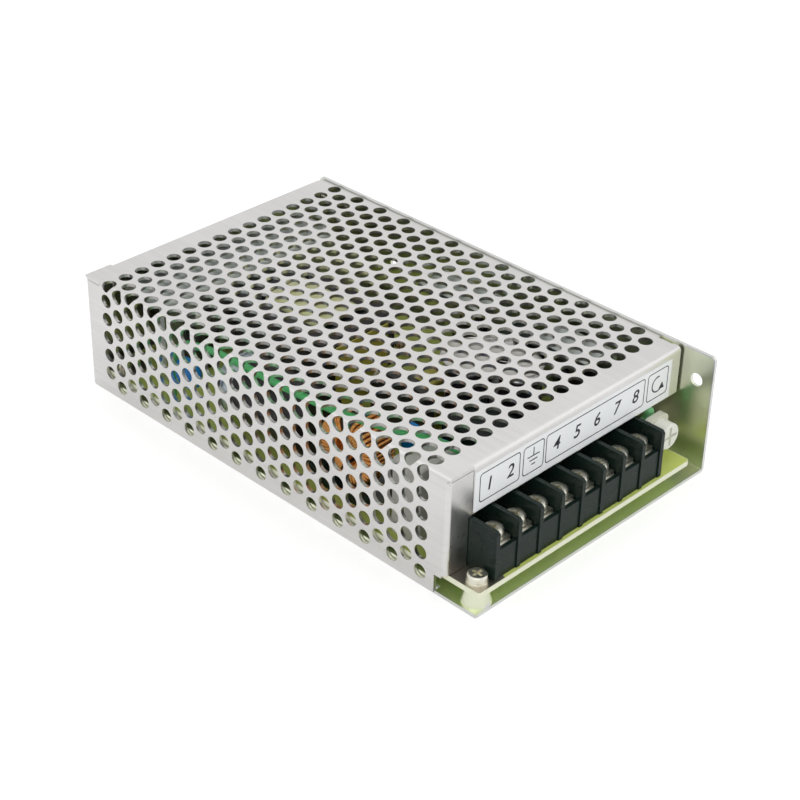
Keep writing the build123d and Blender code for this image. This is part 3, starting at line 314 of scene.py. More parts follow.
def useGroup(tree, group, **values):
    node = addNode(tree, "ShaderNodeGroup", node_tree=group)
    for label, value in values.items():
        feed(tree, value, node.inputs[label])
    return node.outputs


# Effects that several finishes share
# Rolling lines along the sheet, and soft clouds where the plating varies
grainShape = {
    "fineness": 900.0, "stretch": (1.0, 0.04, 1.0), "lineDetail": 3.0,
    "cloudScale": 38.0, "cloudDetail": 4.0,
}


def makeSheetGrain():
    shape = grainShape
    inputs = {"Place": (0, 0, 0), "Fineness": shape["fineness"]}
    group, given, result = newGroup("sheetGrain", inputs, ("Cloud", "Lines"))
    stretch = addNode(group, "ShaderNodeMapping")
    feed(group, given["Place"], stretch.inputs["Vector"])
    feed(group, shape["stretch"], stretch.inputs["Scale"])
    lines = addNoise(group, stretch.outputs["Vector"], given["Fineness"], shape["lineDetail"])
    cloud = addNoise(group, given["Place"], shape["cloudScale"], shape["cloudDetail"])
    feed(group, cloud, result["Cloud"])
    feed(group, lines, result["Lines"])
    return group


# The fine even grain of a moulding or a dipped coat, with faint flow clouds
skinShape = {"fineness": 2500.0, "detail": 2.0, "cloudScale": 160.0, "cloudDetail": 3.0}


def makeMouldSkin():
    shape = skinShape
    inputs = {"Place": (0, 0, 0), "Fineness": shape["fineness"]}
    group, given, result = newGroup("mouldSkin", inputs, ("Cloud", "Height"))
    skin = addNoise(group, given["Place"], given["Fineness"], shape["detail"])
    cloud = addNoise(group, given["Place"], shape["cloudScale"], shape["cloudDetail"])
    feed(group, cloud, result["Cloud"])
    feed(group, skin, result["Height"])
    return group


# How far a place lies past a box, and 0 within it
def makePastBox():
    inputs = {"Place": (0, 0, 0), "Middle": (0, 0, 0), "Reach": (0, 0, 0)}
    group, given, result = newGroup("pastBox", inputs, ("Distance",))
    fromMiddle = vectorStep(group, "SUBTRACT", given["Place"], given["Middle"])
    past = vectorStep(group, "SUBTRACT", vectorStep(group, "ABSOLUTE", fromMiddle), given["Reach"])
    outward = vectorStep(group, "MAXIMUM", past, (0, 0, 0))
    feed(group, vectorStep(group, "LENGTH", outward), result["Distance"])
    return group


# 1 past a limit along an axis, and 0 before it
def makePastLimit():
    inputs = {"Place": (0, 0, 0), "Axis": (0, 0, 1), "Limit": 0.0}
    group, given, result = newGroup("pastLimit", inputs, ("Mask",))
    along = vectorStep(group, "DOT_PRODUCT", given["Place"], given["Axis"])
    feed(group, mathStep(group, "GREATER_THAN", along, given["Limit"]), result["Mask"])
    return group


sheetGrain = makeSheetGrain()
mouldSkin = makeMouldSkin()
pastBox = makePastBox()
pastLimit = makePastLimit()


# Finishes: in each, the tone and the roughness run between two values
def around(colour, share):  # a colour darker and lighter by a share of it
    return [tuple(min(1.0, part * (1 + side * share)) for part in colour) for side in (-1, 1)]


# Sheet and plated metals
sheetLook = {"streaks": 0.45, "clouds": 0.55, "bump": 0.08, "relief": 0.02 * mm}
sheetFinishes = {
    "caseSheet": {"tones": around((0.80, 0.81, 0.79), 0.16), "roughness": (0.24, 0.36), "reflectsBoard": True},
    "coverSheet": {"tones": around((0.81, 0.80, 0.785), 0.16), "roughness": (0.24, 0.36)},
    "sinkMetal": {"tones": around((0.60, 0.64, 0.61), 0.18), "roughness": (0.34, 0.50), "fineness": 500.0},
    "plateNickel": {"tones": around((0.93, 0.88, 0.75), 0.16), "roughness": (0.26, 0.40), "fineness": 1600.0},
    "tinPlate": {"tones": around((0.78, 0.77, 0.73), 0.16), "roughness": (0.25, 0.40), "fineness": 1600.0},
}

# The chassis is bright zinc outside; its inner faces carry a yellow-green tint, a painted reflection of the
# board
chassisBoardReflection = {"tones": around((0.86, 0.90, 0.69), 0.1), "skin": 0.5 * mm, "edge": 0.01 * mm}


# Painted reflection: faces more than the skin's depth inside the chassis's box take a yellow-green tint
# standing in for the board they mirror
def paintBoardReflection(tree, place, cloud, outside):
    low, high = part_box("chassis")
    reach = (high - low) / 2 - Vector([chassisBoardReflection["skin"]] * 3)
    past = useGroup(tree, pastBox, Place=place, Middle=(low + high) / 2, Reach=reach)
    outer = mathStep(tree, "GREATER_THAN", past["Distance"], chassisBoardReflection["edge"])
    return blendColour(tree, outer, blendColour(tree, cloud, *chassisBoardReflection["tones"]), outside)


def sheetMetal(name, tones, roughness, fineness=900.0, reflectsBoard=False):
    tree, shader = newSurface(name, metallic=1.0)
    place = objectPlace(tree)
    grain = useGroup(tree, sheetGrain, Place=place, Fineness=fineness)
    streaks = mathStep(tree, "MULTIPLY", grain["Lines"], sheetLook["streaks"])
    clouds = mathStep(tree, "MULTIPLY", grain["Cloud"], sheetLook["clouds"])
    tone = blendColour(tree, mathStep(tree, "ADD", streaks, clouds), *tones)
    # the board's painted reflection, as a tint on the inner faces
    if reflectsBoard:
        tone = paintBoardReflection(tree, place, grain["Cloud"], tone)
    feed(tree, tone, shader.inputs["Base Color"])
    feed(tree, spread(tree, grain["Lines"], *roughness), shader.inputs["Roughness"])
    addBump(tree, shader, grain["Lines"], sheetLook["bump"], sheetLook["relief"])


# Mouldings, dips, print, film, enamel and the lens
mouldFinishes = {
    "blackMould": {"tones": around((0.009, 0.019, 0.015), 0.25), "roughness": (0.22, 0.34), "gloss": 0.2},
    "creamMould": {"tones": around((0.76, 0.76, 0.64), 0.05), "roughness": (0.34, 0.48)},
    "whiteMould": {"tones": around((0.84, 0.85, 0.76), 0.04), "roughness": (0.32, 0.46)},
    "greyMould": {"tones": around((0.64, 0.63, 0.59), 0.12), "roughness": (0.38, 0.52)},
    "yellowMould": {"tones": around((0.62, 0.56, 0.10), 0.12), "roughness": (0.34, 0.48)},
    "blueDip": {
        "tones": around((0.003, 0.27, 0.74), 0.12), "roughness": (0.28, 0.40),
        "fineness": 500.0, "bump": 0.3, "coat": 0.1, "gloss": 0.2,
    },
    "darkDip": {
        "tones": around((0.035, 0.038, 0.034), 0.12), "roughness": (0.28, 0.44),
        "fineness": 500.0, "bump": 0.3,
    },
    "ferrite": {
        "tones": around((0.045, 0.045, 0.05), 0.3), "roughness": (0.48, 0.66),
        "fineness": 1100.0, "bump": 0.35,
    },
    "tubeCeramic": {"tones": around((0.70, 0.69, 0.63), 0.06), "roughness": (0.30, 0.42)},
    "greenSleeve": {"tones": around((0.10, 0.56, 0.18), 0.08), "roughness": (0.30, 0.42), "fineness": 900.0},
    "sleevePrint": {"tones": around((0.55, 0.56, 0.56), 0.05), "roughness": (0.28, 0.40)},
    "inkBlack": {"tones": around((0.02, 0.02, 0.035), 0.2), "roughness": (0.40, 0.55)},
    "labelFilm": {
        "tones": ((0.93, 0.96, 0.97), (0.97, 0.99, 1.0)), "roughness": (0.34, 0.46),
        "fineness": 1200.0, "bump": 0.06, "relief": 0.03 * mm,
    },
    "copperEnamel": {
        "tones": ((0.90, 0.33, 0.06), (1.0, 0.56, 0.18)), "roughness": (0.18, 0.32),
        "fineness": 900.0, "bump": 0.0, "coat": 0.5, "metallic": 0.8,
    },
    "tintedLens": {
        "tones": ((0.30, 0.94, 0.38), (0.42, 1.0, 0.50)), "roughness": (0.08, 0.16),
        "fineness": 800.0, "bump": 0.0, "clear": 0.1,
    },
}


def addSkin(tree, shader, place, roughness, fineness):  # its clouds vary the roughness
    skin = useGroup(tree, mouldSkin, Place=place, Fineness=fineness)
    feed(tree, spread(tree, skin["Cloud"], *roughness), shader.inputs["Roughness"])
    return skin


def moulding(
    name, tones, roughness, fineness=2500.0, bump=0.12, relief=0.05 * mm,
    coat=0.0, gloss=0.5, metallic=0.0, clear=0.0,
):
    tree, shader = newSurface(name, metallic)
    skin = addSkin(tree, shader, objectPlace(tree), roughness, fineness)
    feed(tree, blendColour(tree, skin["Cloud"], *tones), shader.inputs["Base Color"])
    if bump:
        addBump(tree, shader, skin["Height"], bump, relief)
    shader.inputs["Coat Weight"].default_value = coat
    shader.inputs["Specular IOR Level"].default_value = gloss
    shader.inputs["Transmission Weight"].default_value = clear


# Bare laminate above; below, green solder mask with tracks, painted much lighter than its own green as
# painted light for the shade under the board; tinned pads round the screws
boardShape = {
    "laminate": ((0.54, 0.64, 0.13), (0.72, 0.82, 0.23)),
    # painted light: the solder mask's green is lightened well past its own tone, standing in for light in the
    # shade under the board
    "underside": ((0.76, 0.96, 0.44), (0.88, 1.0, 0.58)),
    "roughness": (0.28, 0.42), "fineness": 1400.0,
    "trackScale": 120.0, "trackGap": 0.06,
    "weaveScale": 420.0, "weaveBump": 0.05, "weaveRelief": 0.03 * mm,
    "cutEdge": (0.90, 0.92, 0.70), "cutDepth": 0.15 * mm, "corner": 1.0 * mm,
    "pad": (0.50, 0.46, 0.38), "padRadius": 7.5 * mm, "padDepth": 0.1 * mm,
    "screwTop": 1.5 * mm, "screwReach": 8 * mm,
}


def boardLaminate():
    shape = boardShape
    low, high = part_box("circuit_board")
    tree, shader = newSurface("boardLaminate")
    place = objectPlace(tree)
    skin = addSkin(tree, shader, place, shape["roughness"], shape["fineness"])
    laminate = blendColour(tree, skin["Cloud"], *shape["laminate"])
    tracks = addNode(tree, "ShaderNodeTexVoronoi", feature="DISTANCE_TO_EDGE")
    feed(tree, place, tracks.inputs["Vector"])
    feed(tree, shape["trackScale"], tracks.inputs["Scale"])
    gap = mathStep(tree, "GREATER_THAN", tracks.outputs["Distance"], shape["trackGap"])
    # the lightened solder mask, painted light for the shade under the board
    underside = blendColour(tree, gap, *shape["underside"])
    upper = useGroup(tree, pastLimit, Place=place, Limit=(low.z + high.z) / 2)
    colour = blendColour(tree, upper["Mask"], underside, laminate)

    # The saw cut round the board, pale where the resin is bare
    reach = (high - low) / 2 - Vector((shape["corner"], shape["corner"], 0))
    past = useGroup(tree, pastBox, Place=place, Middle=(low + high) / 2, Reach=reach)
    cut = mathStep(tree, "GREATER_THAN", past["Distance"], shape["corner"] - shape["cutDepth"])
    colour = blendColour(tree, cut, colour, shape["cutEdge"])

    # Tinned pads: discs round the four screws, on the top face alone
    flat = vectorStep(tree, "MULTIPLY", place, (1, 1, 0))
    near = 0.0
    for centre, _ in topCentres("board_screws", shape["screwTop"], shape["screwReach"]):
        away = vectorStep(tree, "DISTANCE", flat, (centre.x, centre.y, 0))
        near = mathStep(tree, "MAXIMUM", near, mathStep(tree, "LESS_THAN", away, shape["padRadius"]))
    topFace = useGroup(tree, pastLimit, Place=place, Limit=high.z - shape["padDepth"])
    uncut = mathStep(tree, "SUBTRACT", 1.0, cut)
    pad = mathStep(tree, "MULTIPLY", near, mathStep(tree, "MULTIPLY", topFace["Mask"], uncut))
    feed(tree, blendColour(tree, pad, colour, shape["pad"]), shader.inputs["Base Color"])
    feed(tree, pad, shader.inputs["Metallic"])
    weave = addBands(tree, place, "DIAGONAL", shape["weaveScale"])
    addBump(tree, shader, weave, shape["weaveBump"], shape["weaveRelief"])


# Black shrink sleeve, and the bare can past its end
sleeveLook = {
    "tones": ((0.016, 0.0128, 0.016), (0.026, 0.0208, 0.026)), "roughness": (0.22, 0.36),
    "fineness": 600.0, "bareMetallic": 0.85, "bump": 0.08, "relief": 0.05 * mm,
}
sleeves = {  # the way each can points, how much of its end is bare, and the end's colour
    "bulkSleeve": {
        "node": "bulk_capacitor", "axis": (0, 1, 0), "bareEnd": 6.5 * mm, "bare": (0.60, 0.67, 0.71),
    },
    "outputSleeve": {
        "node": "output_capacitors", "axis": (0, 0, 1), "bareEnd": 0.5 * mm, "bare": (0.72, 0.72, 0.72),
    },
    "smallSleeve": {
        "node": "small_capacitors", "axis": (0, 0, 1), "bareEnd": 0.5 * mm, "bare": (0.72, 0.72, 0.72),
    },
}


def shrinkSleeve(name, node, axis, bareEnd, bare):
    look = sleeveLook
    tree, shader = newSurface(name)
    place = objectPlace(tree)
    skin = addSkin(tree, shader, place, look["roughness"], look["fineness"])
    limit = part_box(node)[1].dot(Vector(axis)) - bareEnd
    past = useGroup(tree, pastLimit, Place=place, Axis=axis, Limit=limit)["Mask"]
    black = blendColour(tree, skin["Cloud"], *look["tones"])
    feed(tree, blendColour(tree, past, black, bare), shader.inputs["Base Color"])
    feed(tree, mathStep(tree, "MULTIPLY", past, look["bareMetallic"]), shader.inputs["Metallic"])
    addBump(tree, shader, skin["Height"], look["bump"], look["relief"])


# Yellow polyester tape in turns, each with its edge showing
tapeLook = {
    "tones": ((0.88, 0.91, 0.44), (0.97, 0.98, 0.60)), "roughness": (0.22, 0.38), "fineness": 700.0,
    "turnScale": 55.0, "turnWander": 1.2, "bump": 0.25, "relief": 0.08 * mm, "coat": 0.3,
}


def tapeWrap():
    look = tapeLook
    tree, shader = newSurface("tapeWrap")
    place = objectPlace(tree)
    addSkin(tree, shader, place, look["roughness"], look["fineness"])
    turns = addBands(tree, place, "Y", look["turnScale"], look["turnWander"])
    feed(tree, blendColour(tree, turns, *look["tones"]), shader.inputs["Base Color"])
    addBump(tree, shader, turns, look["bump"], look["relief"])
    shader.inputs["Coat Weight"].default_value = look["coat"]


# Tan lacquer with dark bands that cross the body
resistorLook = {
    "lacquer": (0.55, 0.40, 0.22), "band": (0.30, 0.05, 0.03), "bandScale": 210.0, "bandFrom": 0.86,
    "roughness": (0.30, 0.45), "fineness": 1500.0, "bump": 0.1, "relief": 0.05 * mm,
}


def resistorCoat():
    look = resistorLook
    tree, shader = newSurface("resistorCoat")
    place = objectPlace(tree)
    skin = addSkin(tree, shader, place, look["roughness"], look["fineness"])
    bands = addBands(tree, place, "Y", look["bandScale"])
    band = mathStep(tree, "GREATER_THAN", bands, look["bandFrom"])
    feed(tree, blendColour(tree, band, look["lacquer"], look["band"]), shader.inputs["Base Color"])
    addBump(tree, shader, skin["Height"], look["bump"], look["relief"])


for name, values in sheetFinishes.items():
    sheetMetal(name, **values)
for name, values in mouldFinishes.items():
    moulding(name, **values)
for name, values in sleeves.items():
    shrinkSleeve(name, **values)
boardLaminate()
tapeWrap()
resistorCoat()
print("finishes made:", len(finishes))


# Finishes go on the CAD nodes
nodesByFinish = {
    "caseSheet": ["chassis"],
    "coverSheet": ["cover"],
    "sinkMetal": ["rear_heatsink", "side_heatsink_rear", "side_heatsink_front"],
    "plateNickel": [
        "board_screws", "cover_screws", "heatsink_screws", *(f"clamp_plate_{way}" for way in ways),
    ],
    "tinPlate": ["terminal_contacts", "fuse_clips"],
    "blackMould": ["terminal_block", "transformer_bobbin", "choke_base", "relay", "output_inductor"],
    "creamMould": ["trimmer_body"],
    "whiteMould": ["trimmer_rotor"],
    "greyMould": ["film_capacitor"],
    "yellowMould": ["line_filter_capacitor", "insulating_barrier"],
    "blueDip": ["ceramic_capacitors"],
    "darkDip": [
        "thermistor", "bridge_rectifier", "switching_transistor", "rectifier_diodes", "control_chips",
    ],
    "ferrite": ["transformer_core", "choke_core"],
    "tubeCeramic": ["fuse"],
    "greenSleeve": ["green_lead"],
    "labelFilm": ["terminal_label"],
    "tintedLens": ["power_led"],
    "bulkSleeve": ["bulk_capacitor"],
    "outputSleeve": ["output_capacitors"],
    "smallSleeve": ["small_capacitors"],
    "boardLaminate": ["circuit_board"],
    "tapeWrap": ["transformer_winding"],
    "resistorCoat": ["resistors"],
}
for finish, nodes in nodesByFinish.items():
    for node in nodes:
        setFinish(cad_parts[node], finish)
print("finishes on", sum(len(nodes) for nodes in nodesByFinish.values()), "nodes")


# Terminal screws: a pan head with a cross recess, on a threaded shank
screwShape = {
    "headRadius": 3.0 * mm, "headHeight": 2.5 * mm, "headEdge": 0.7 * mm, "edgeSteps": 5, "headSides": 48,
    "crossWidth": 1.0 * mm, "crossReach": 4.0 * mm, "crossDepth": 1.4 * mm, "crossTaper": 0.6,
    "crest": 1.70 * mm, "root": 1.42 * mm, "threadPitch": 0.6 * mm, "threadSteps": 24, "join": 0.005 * mm,
}


def makeHead(shape, centre, underside):
    top = underside + shape["headHeight"]
    deselectAll()
    bpy.ops.mesh.primitive_cylinder_add(
        vertices=shape["headSides"], radius=shape["headRadius"], depth=shape["headHeight"],
        location=(centre.x, centre.y, underside + shape["headHeight"] / 2),
    )
    head = named("terminalHead")
    settle(head)
    editPiece(head, kind="EDGE")
    pickEdges(head, lambda edge: all(abs(vertex.co.z - top) < touching for vertex in edge.verts))
    bpy.ops.mesh.bevel(
        offset=shape["headEdge"], segments=shape["edgeSteps"], profile=0.5, clamp_overlap=True
    )
    bpy.ops.object.mode_set(mode="OBJECT")

    # Two tapered bars cut the recess
    for turn in (0, 90):
        bar = addBlock("recessBar", (shape["crossWidth"], shape["crossReach"], 2 * shape["crossDepth"]))
        editPiece(bar)
        pickFaces(bar, lambda face: face.normal.z < -facing)
        bpy.ops.transform.resize(value=(shape["crossTaper"], shape["crossTaper"], 1))
        bpy.ops.object.mode_set(mode="OBJECT")
        bar.rotation_euler.z = math.radians(turn)
        bar.location = (centre.x, centre.y, top)
        settle(bar)
        cut = head.modifiers.new("recess", "BOOLEAN")
        cut.operation = "DIFFERENCE"
        cut.object = bar
        cut.solver = "EXACT"
        applyModifiers(head)
        bpy.data.objects.remove(bar)
    return head


def makeThread(shape, centre, low, high):  # one pitch of the profile, wound up the shank
    pitch = shape["threadPitch"]
    thread = addWire(
        "terminalThread",
        [(shape["root"], 0, 0.0), (shape["crest"], 0, pitch / 2), (shape["root"], 0, pitch)],
    )
    bpy.ops.object.mode_set(mode="OBJECT")
    wind = thread.modifiers.new("wind", "SCREW")
    wind.steps = shape["threadSteps"]
    wind.render_steps = shape["threadSteps"]
    wind.screw_offset = pitch
    wind.iterations = int((high - low) / pitch) - 1
    wind.use_merge_vertices = True
    wind.merge_threshold = shape["join"]
    applyModifiers(thread)
    closeAndTurnOut(thread, join=touching)
    editPiece(thread, kind="EDGE")
    pickEdges(thread, lambda edge: edge.is_boundary)
    bpy.ops.mesh.fill()
    bpy.ops.mesh.select_all(action="SELECT")
    bpy.ops.mesh.normals_make_consistent(inside=False)
    bpy.ops.object.mode_set(mode="OBJECT")
    thread.location = (centre.x, centre.y, low)
    settle(thread)
    return thread


def makeTerminalScrews():
    low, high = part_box("terminal_screw_1")
    centre = Vector(((low.x + high.x) / 2, (low.y + high.y) / 2, 0))
    underside = high.z - screwShape["headHeight"]
    head = makeHead(screwShape, centre, underside)
    thread = makeThread(screwShape, centre, low.z, underside)
    first = joined([head, thread], "terminalScrew1")
    for way in ways:
        node = f"terminal_screw_{way}"
        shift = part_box(node)[0] - low
        screw = first if way == 1 else copyOf(first, f"terminalScrew{way}", shift)
        finished(screw, "plateNickel", node)
        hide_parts(node)


makeTerminalScrews()
print("terminal screws made")


# Choke: two windings of enamelled wire round the ring core
chokeShape = {
    "wireRadius": 0.55 * mm, "wireSides": 3, "lieGap": 0.05 * mm, "loopCorner": 1.2 * mm, "cornerSteps": 4,
    "turnsEachSide": 20, "arcDeg": 146.0, "leanDeg": 1.5, "smoothDeg": 60,
}


# One turn is a rounded rectangle in the XY plane, X along the ring's width
def makeTurn(shape, ringOuter, ringInner, ringWidth):
    clear = 2 * (shape["wireRadius"] + shape["lieGap"])
    place = (0, (ringOuter + ringInner) / 2, 0)
    turn = addPlate("chokeTurn", ringWidth + clear, ringOuter - ringInner + clear, place)
    editPiece(turn, action="SELECT", kind="VERT")
    bpy.ops.mesh.bevel(offset=shape["loopCorner"], segments=shape["cornerSteps"], affect="VERTICES")
    bpy.ops.mesh.select_all(action="SELECT")
    bpy.ops.mesh.delete(type="ONLY_FACE")
    bpy.ops.object.mode_set(mode="OBJECT")
    pickObjects(turn)
    bpy.ops.object.convert(target="CURVE")
    turn.data.bevel_depth = shape["wireRadius"]
    turn.data.bevel_resolution = shape["wireSides"]
    bpy.ops.object.convert(target="MESH")
    return turn


def makeChokeTurns():
    low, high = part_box("choke_core")
    centre = (low + high) / 2
    corePoints = [vertex.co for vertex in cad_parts["choke_core"].data.vertices]
    ringInner = min(math.hypot(point.y - centre.y, point.z - centre.z) for point in corePoints)
    turn = makeTurn(chokeShape, (high.z - low.z) / 2, ringInner, high.x - low.x)
    upright = Matrix.Rotation(math.pi / 2, 4, "X")
    lean = Matrix.Rotation(math.radians(chokeShape["leanDeg"]), 4, "Y")
    arc = math.radians(chokeShape["arcDeg"])
    count = chokeShape["turnsEachSide"]
    turns = []
    for side in (-1, 1):
        for step in range(count):
            angle = side * math.pi / 2 + (step / (count - 1) - 0.5) * arc
            stand = Matrix.Translation(centre) @ Matrix.Rotation(angle, 4, "X")
            twin = copyOf(turn, "chokeTurnCopy")
            twin.data.transform(stand @ lean @ upright)
            turns.append(twin)
    bpy.data.objects.remove(turn)
    winding = joined(turns, "chokeTurns")
    closeAndTurnOut(winding)
    finished(winding, "copperEnamel", "case", smoothDeg=chokeShape["smoothDeg"])
    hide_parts("choke_windings")


makeChokeTurns()
print("choke wound")


# Print on the label: outlines, way numbers, an earth sign and a turning arrow
labelPrint = {
    "ink": 0.02 * mm, "lineWidth": 0.3 * mm, "corner": 1.1 * mm, "cornerSteps": 6,
    "low": 2.1 * mm, "high": 11.1 * mm,
    # Places along the label, in mm from its left
    "boxes": ((1.7, 17.4), (18.5, 26.9), (27.6, 69.5), (70.7, 80.0)),
    "numbers": (("1", 5.4), ("2", 13.6), ("4", 32.0), ("5", 40.4), ("6", 48.8), ("7", 57.2), ("8", 65.4)),
    "earth": 22.7, "arrow": 75.35,
    # The marks themselves
    "numberHeight": 5.7 * mm, "numberFoot": 4.8 * mm, "numberBold": 0.06 * mm, "numberLean": 0.15,
    "numberSteps": 4, "earthLine": 0.36 * mm,
    "earthStem": (2.6, 2.0),  # its length in mm, and its middle above the sign's
    "earthBars": ((4.8, 0.7), (3.2, -0.6), (1.6, -1.9)),  # likewise
    "arrowRadius": 2.4 * mm, "arrowWidth": 0.45 * mm, "arrowArcDeg": 250, "arrowTurnDeg": -35,
    "arrowSteps": 28, "arrowTip": 3.2,  # the tip's radius, in widths of the arrow's line
}
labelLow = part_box("terminal_label")[0]


def onLabel(piece, fromLeft, fromFoot):  # thickens a flat piece to a layer of ink, on the label's face
    thicken(piece, labelPrint["ink"])
    piece.data.transform(Matrix.Rotation(math.pi / 2, 4, "X"))
    face = labelLow.y - labelPrint["ink"] / 2
    piece.data.transform(Matrix.Translation((labelLow.x + fromLeft, face, labelLow.z + fromFoot)))
    return piece


def makeOutline(width, height):
    outline = addPlate("printOutline", width, height)
    editPiece(outline, action="SELECT", kind="VERT")
    bpy.ops.mesh.bevel(
        offset=labelPrint["corner"], segments=labelPrint["cornerSteps"], affect="VERTICES"
    )
    bpy.ops.mesh.select_mode(type="FACE")
    bpy.ops.mesh.select_all(action="SELECT")
    bpy.ops.mesh.inset(thickness=labelPrint["lineWidth"])
    bpy.ops.mesh.delete(type="FACE")  # the middle, which the inset leaves selected
    bpy.ops.object.mode_set(mode="OBJECT")
    return outline


def makeNumber(text):
    deselectAll()
    bpy.ops.object.text_add(location=(0, 0, 0))
    number = named("printNumber")
    number.data.body = text
    number.data.size = labelPrint["numberHeight"]
    number.data.align_x = "CENTER"
    number.data.shear = labelPrint["numberLean"]
    number.data.offset = labelPrint["numberBold"]
    number.data.resolution_u = labelPrint["numberSteps"]
    bpy.ops.object.convert(target="MESH")
    number = named("printNumber")
    closeAndTurnOut(number)
    return number


def makeBar(width, height, up):
    bar = addPlate("printBar", width, height, (0, up, 0))
    editPiece(bar, action="SELECT", kind="FACE")
    bpy.ops.mesh.subdivide(number_cuts=1)
    bpy.ops.object.mode_set(mode="OBJECT")
    return bar


def makeTurnArrow():  # an arc spun from a short stroke, and a tip at its start
    radius, width = labelPrint["arrowRadius"], labelPrint["arrowWidth"]
    turn = math.radians(labelPrint["arrowTurnDeg"])
    arc = addWire("printArc", [(radius - width / 2, 0, 0), (radius + width / 2, 0, 0)])
    spinWire(arc, labelPrint["arrowSteps"], labelPrint["arrowArcDeg"])
    arc.data.transform(Matrix.Rotation(turn, 4, "Z"))
    deselectAll()
    bpy.ops.mesh.primitive_circle_add(
        vertices=3, radius=labelPrint["arrowTip"] * width, fill_type="NGON", location=(0, 0, 0)
    )
    tip = named("printTip")
    tip.data.transform(Matrix.Rotation(turn - math.pi / 2, 4, "Z"))
    tip.data.transform(Matrix.Translation((radius * math.cos(turn), radius * math.sin(turn), 0)))
    return [arc, tip]


def makeLabelPrint():
    ink = labelPrint
    middle = (ink["low"] + ink["high"]) / 2
    marks = []
    for start, end in ink["boxes"]:
        outline = makeOutline((end - start) * mm, ink["high"] - ink["low"])
        marks.append(onLabel(outline, (start + end) / 2 * mm, middle))
    for text, fromLeft in ink["numbers"]:
        marks.append(onLabel(makeNumber(text), fromLeft * mm, ink["numberFoot"]))
    length, up = ink["earthStem"]
    bars = [makeBar(ink["earthLine"], length * mm, up * mm)]
    for length, up in ink["earthBars"]:
        bars.append(makeBar(length * mm, ink["earthLine"], up * mm))
    for bar in bars:
        marks.append(onLabel(bar, ink["earth"] * mm, middle))
    for part in makeTurnArrow():
        marks.append(onLabel(part, ink["arrow"] * mm, middle))
    finished(joined(marks, "labelPrint"), "inkBlack", "case")


makeLabelPrint()
print("label printed")


# Capacitor tops: a pressed disc with a rim and a star-shaped vent
canShape = {"topDepth": 0.1 * mm, "reach": 12.2 * mm}  # how the cans are told apart
ventShape = {  # armLength is in can radii
    "sides": 40, "rimWidth": 0.5 * mm, "rimHeight": 0.25 * mm, "sink": 0.15 * mm, "lift": 0.02 * mm,
    "armsDeg": (0, 60, 120), "armLength": 1.4, "armWidth": 0.35 * mm, "armHeight": 0.12 * mm,
    "armEdge": 0.03 * mm,
}


def standingCans(node):
    return topCentres(node, canShape["topDepth"], canShape["reach"])


def makeCanTop(shape, radius):
    height = shape["rimHeight"]
    deselectAll()
    bpy.ops.mesh.primitive_cylinder_add(
        vertices=shape["sides"], radius=radius, depth=height, location=(0, 0, height / 2)
    )
    disc = named("canTop")
    settle(disc)
    editPiece(disc)
    pickFaces(disc, lambda face: face.normal.z > facing)
    bpy.ops.mesh.inset(thickness=shape["rimWidth"])
    bpy.ops.transform.translate(value=(0, 0, -shape["sink"]))
    bpy.ops.mesh.inset(thickness=shape["rimWidth"] / 2)
    bpy.ops.object.mode_set(mode="OBJECT")
    arms = []
    for turn in shape["armsDeg"]:
        size = (shape["armLength"] * radius, shape["armWidth"], shape["armHeight"])
        arm = addBlock("ventArm", size, (0, 0, height - shape["sink"]), turn)
        editPiece(arm, action="SELECT", kind="EDGE")
        bpy.ops.mesh.bevel(offset=shape["armEdge"], segments=1)
        bpy.ops.object.mode_set(mode="OBJECT")
        arms.append(arm)
    return joined([disc, *arms], "canTop")


def makeCanTops():
    tops = []
    for node in ("output_capacitors", "small_capacitors"):
        for centre, radius in standingCans(node):
            top = makeCanTop(ventShape, radius)
            top.data.transform(Matrix.Translation(centre + Vector((0, 0, ventShape["lift"]))))
            tops.append(top)
    finished(joined(tops, "canTops"), "tinPlate", "case")


makeCanTops()
print("capacitor tops made")


# Capacitor sleeves: a pale polarity stripe down one side, with minus marks
stripeShape = {
    "spanDeg": 46.0, "steps": 8, "film": 0.03 * mm, "clear": 0.4 * mm, "firstDeg": 200, "nextDeg": 35,
    "markEvery": 3.2 * mm, "markWidth": 0.5 * mm, "markHeight": 1.5 * mm, "markFilm": 0.05 * mm,
}


def makeArcBand(radius, low, high, spanDeg, steps, film):  # an upright edge spun about the Z axis
    band = addWire("arcBand", [(radius, 0, low), (radius, 0, high)])
    spinWire(band, steps, spanDeg)
    thicken(band, 2 * film)
    return band


def makeStripes():
    shape = stripeShape
    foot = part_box("circuit_board")[1].z + shape["clear"]
    stripes, marks = [], []
    for node in ("output_capacitors", "small_capacitors"):
        for index, (centre, radius) in enumerate(standingCans(node)):
            top = centre.z - shape["clear"]
            turn = shape["firstDeg"] + shape["nextDeg"] * index - shape["spanDeg"] / 2
            stand = Matrix.Translation((centre.x, centre.y, 0)) @ Matrix.Rotation(math.radians(turn), 4, "Z")
            stripe = makeArcBand(radius, foot, top, shape["spanDeg"], shape["steps"], shape["film"])
            stripe.data.transform(stand)
            stripes.append(stripe)
            markDeg = math.degrees(shape["markWidth"] / radius)
            toMiddle = Matrix.Rotation(math.radians((shape["spanDeg"] - markDeg) / 2), 4, "Z")
            low = foot + shape["markEvery"]
            while low + shape["markHeight"] < top:
                mark = makeArcBand(radius, low, low + shape["markHeight"], markDeg, 1, shape["markFilm"])
                mark.data.transform(stand @ toMiddle)
                marks.append(mark)
                low += shape["markEvery"]
    finished(joined(stripes, "sleeveStripes"), "sleevePrint", "case")
    finished(joined(marks, "sleeveMarks"), "inkBlack", "case")


makeStripes()
print("sleeve stripes made")


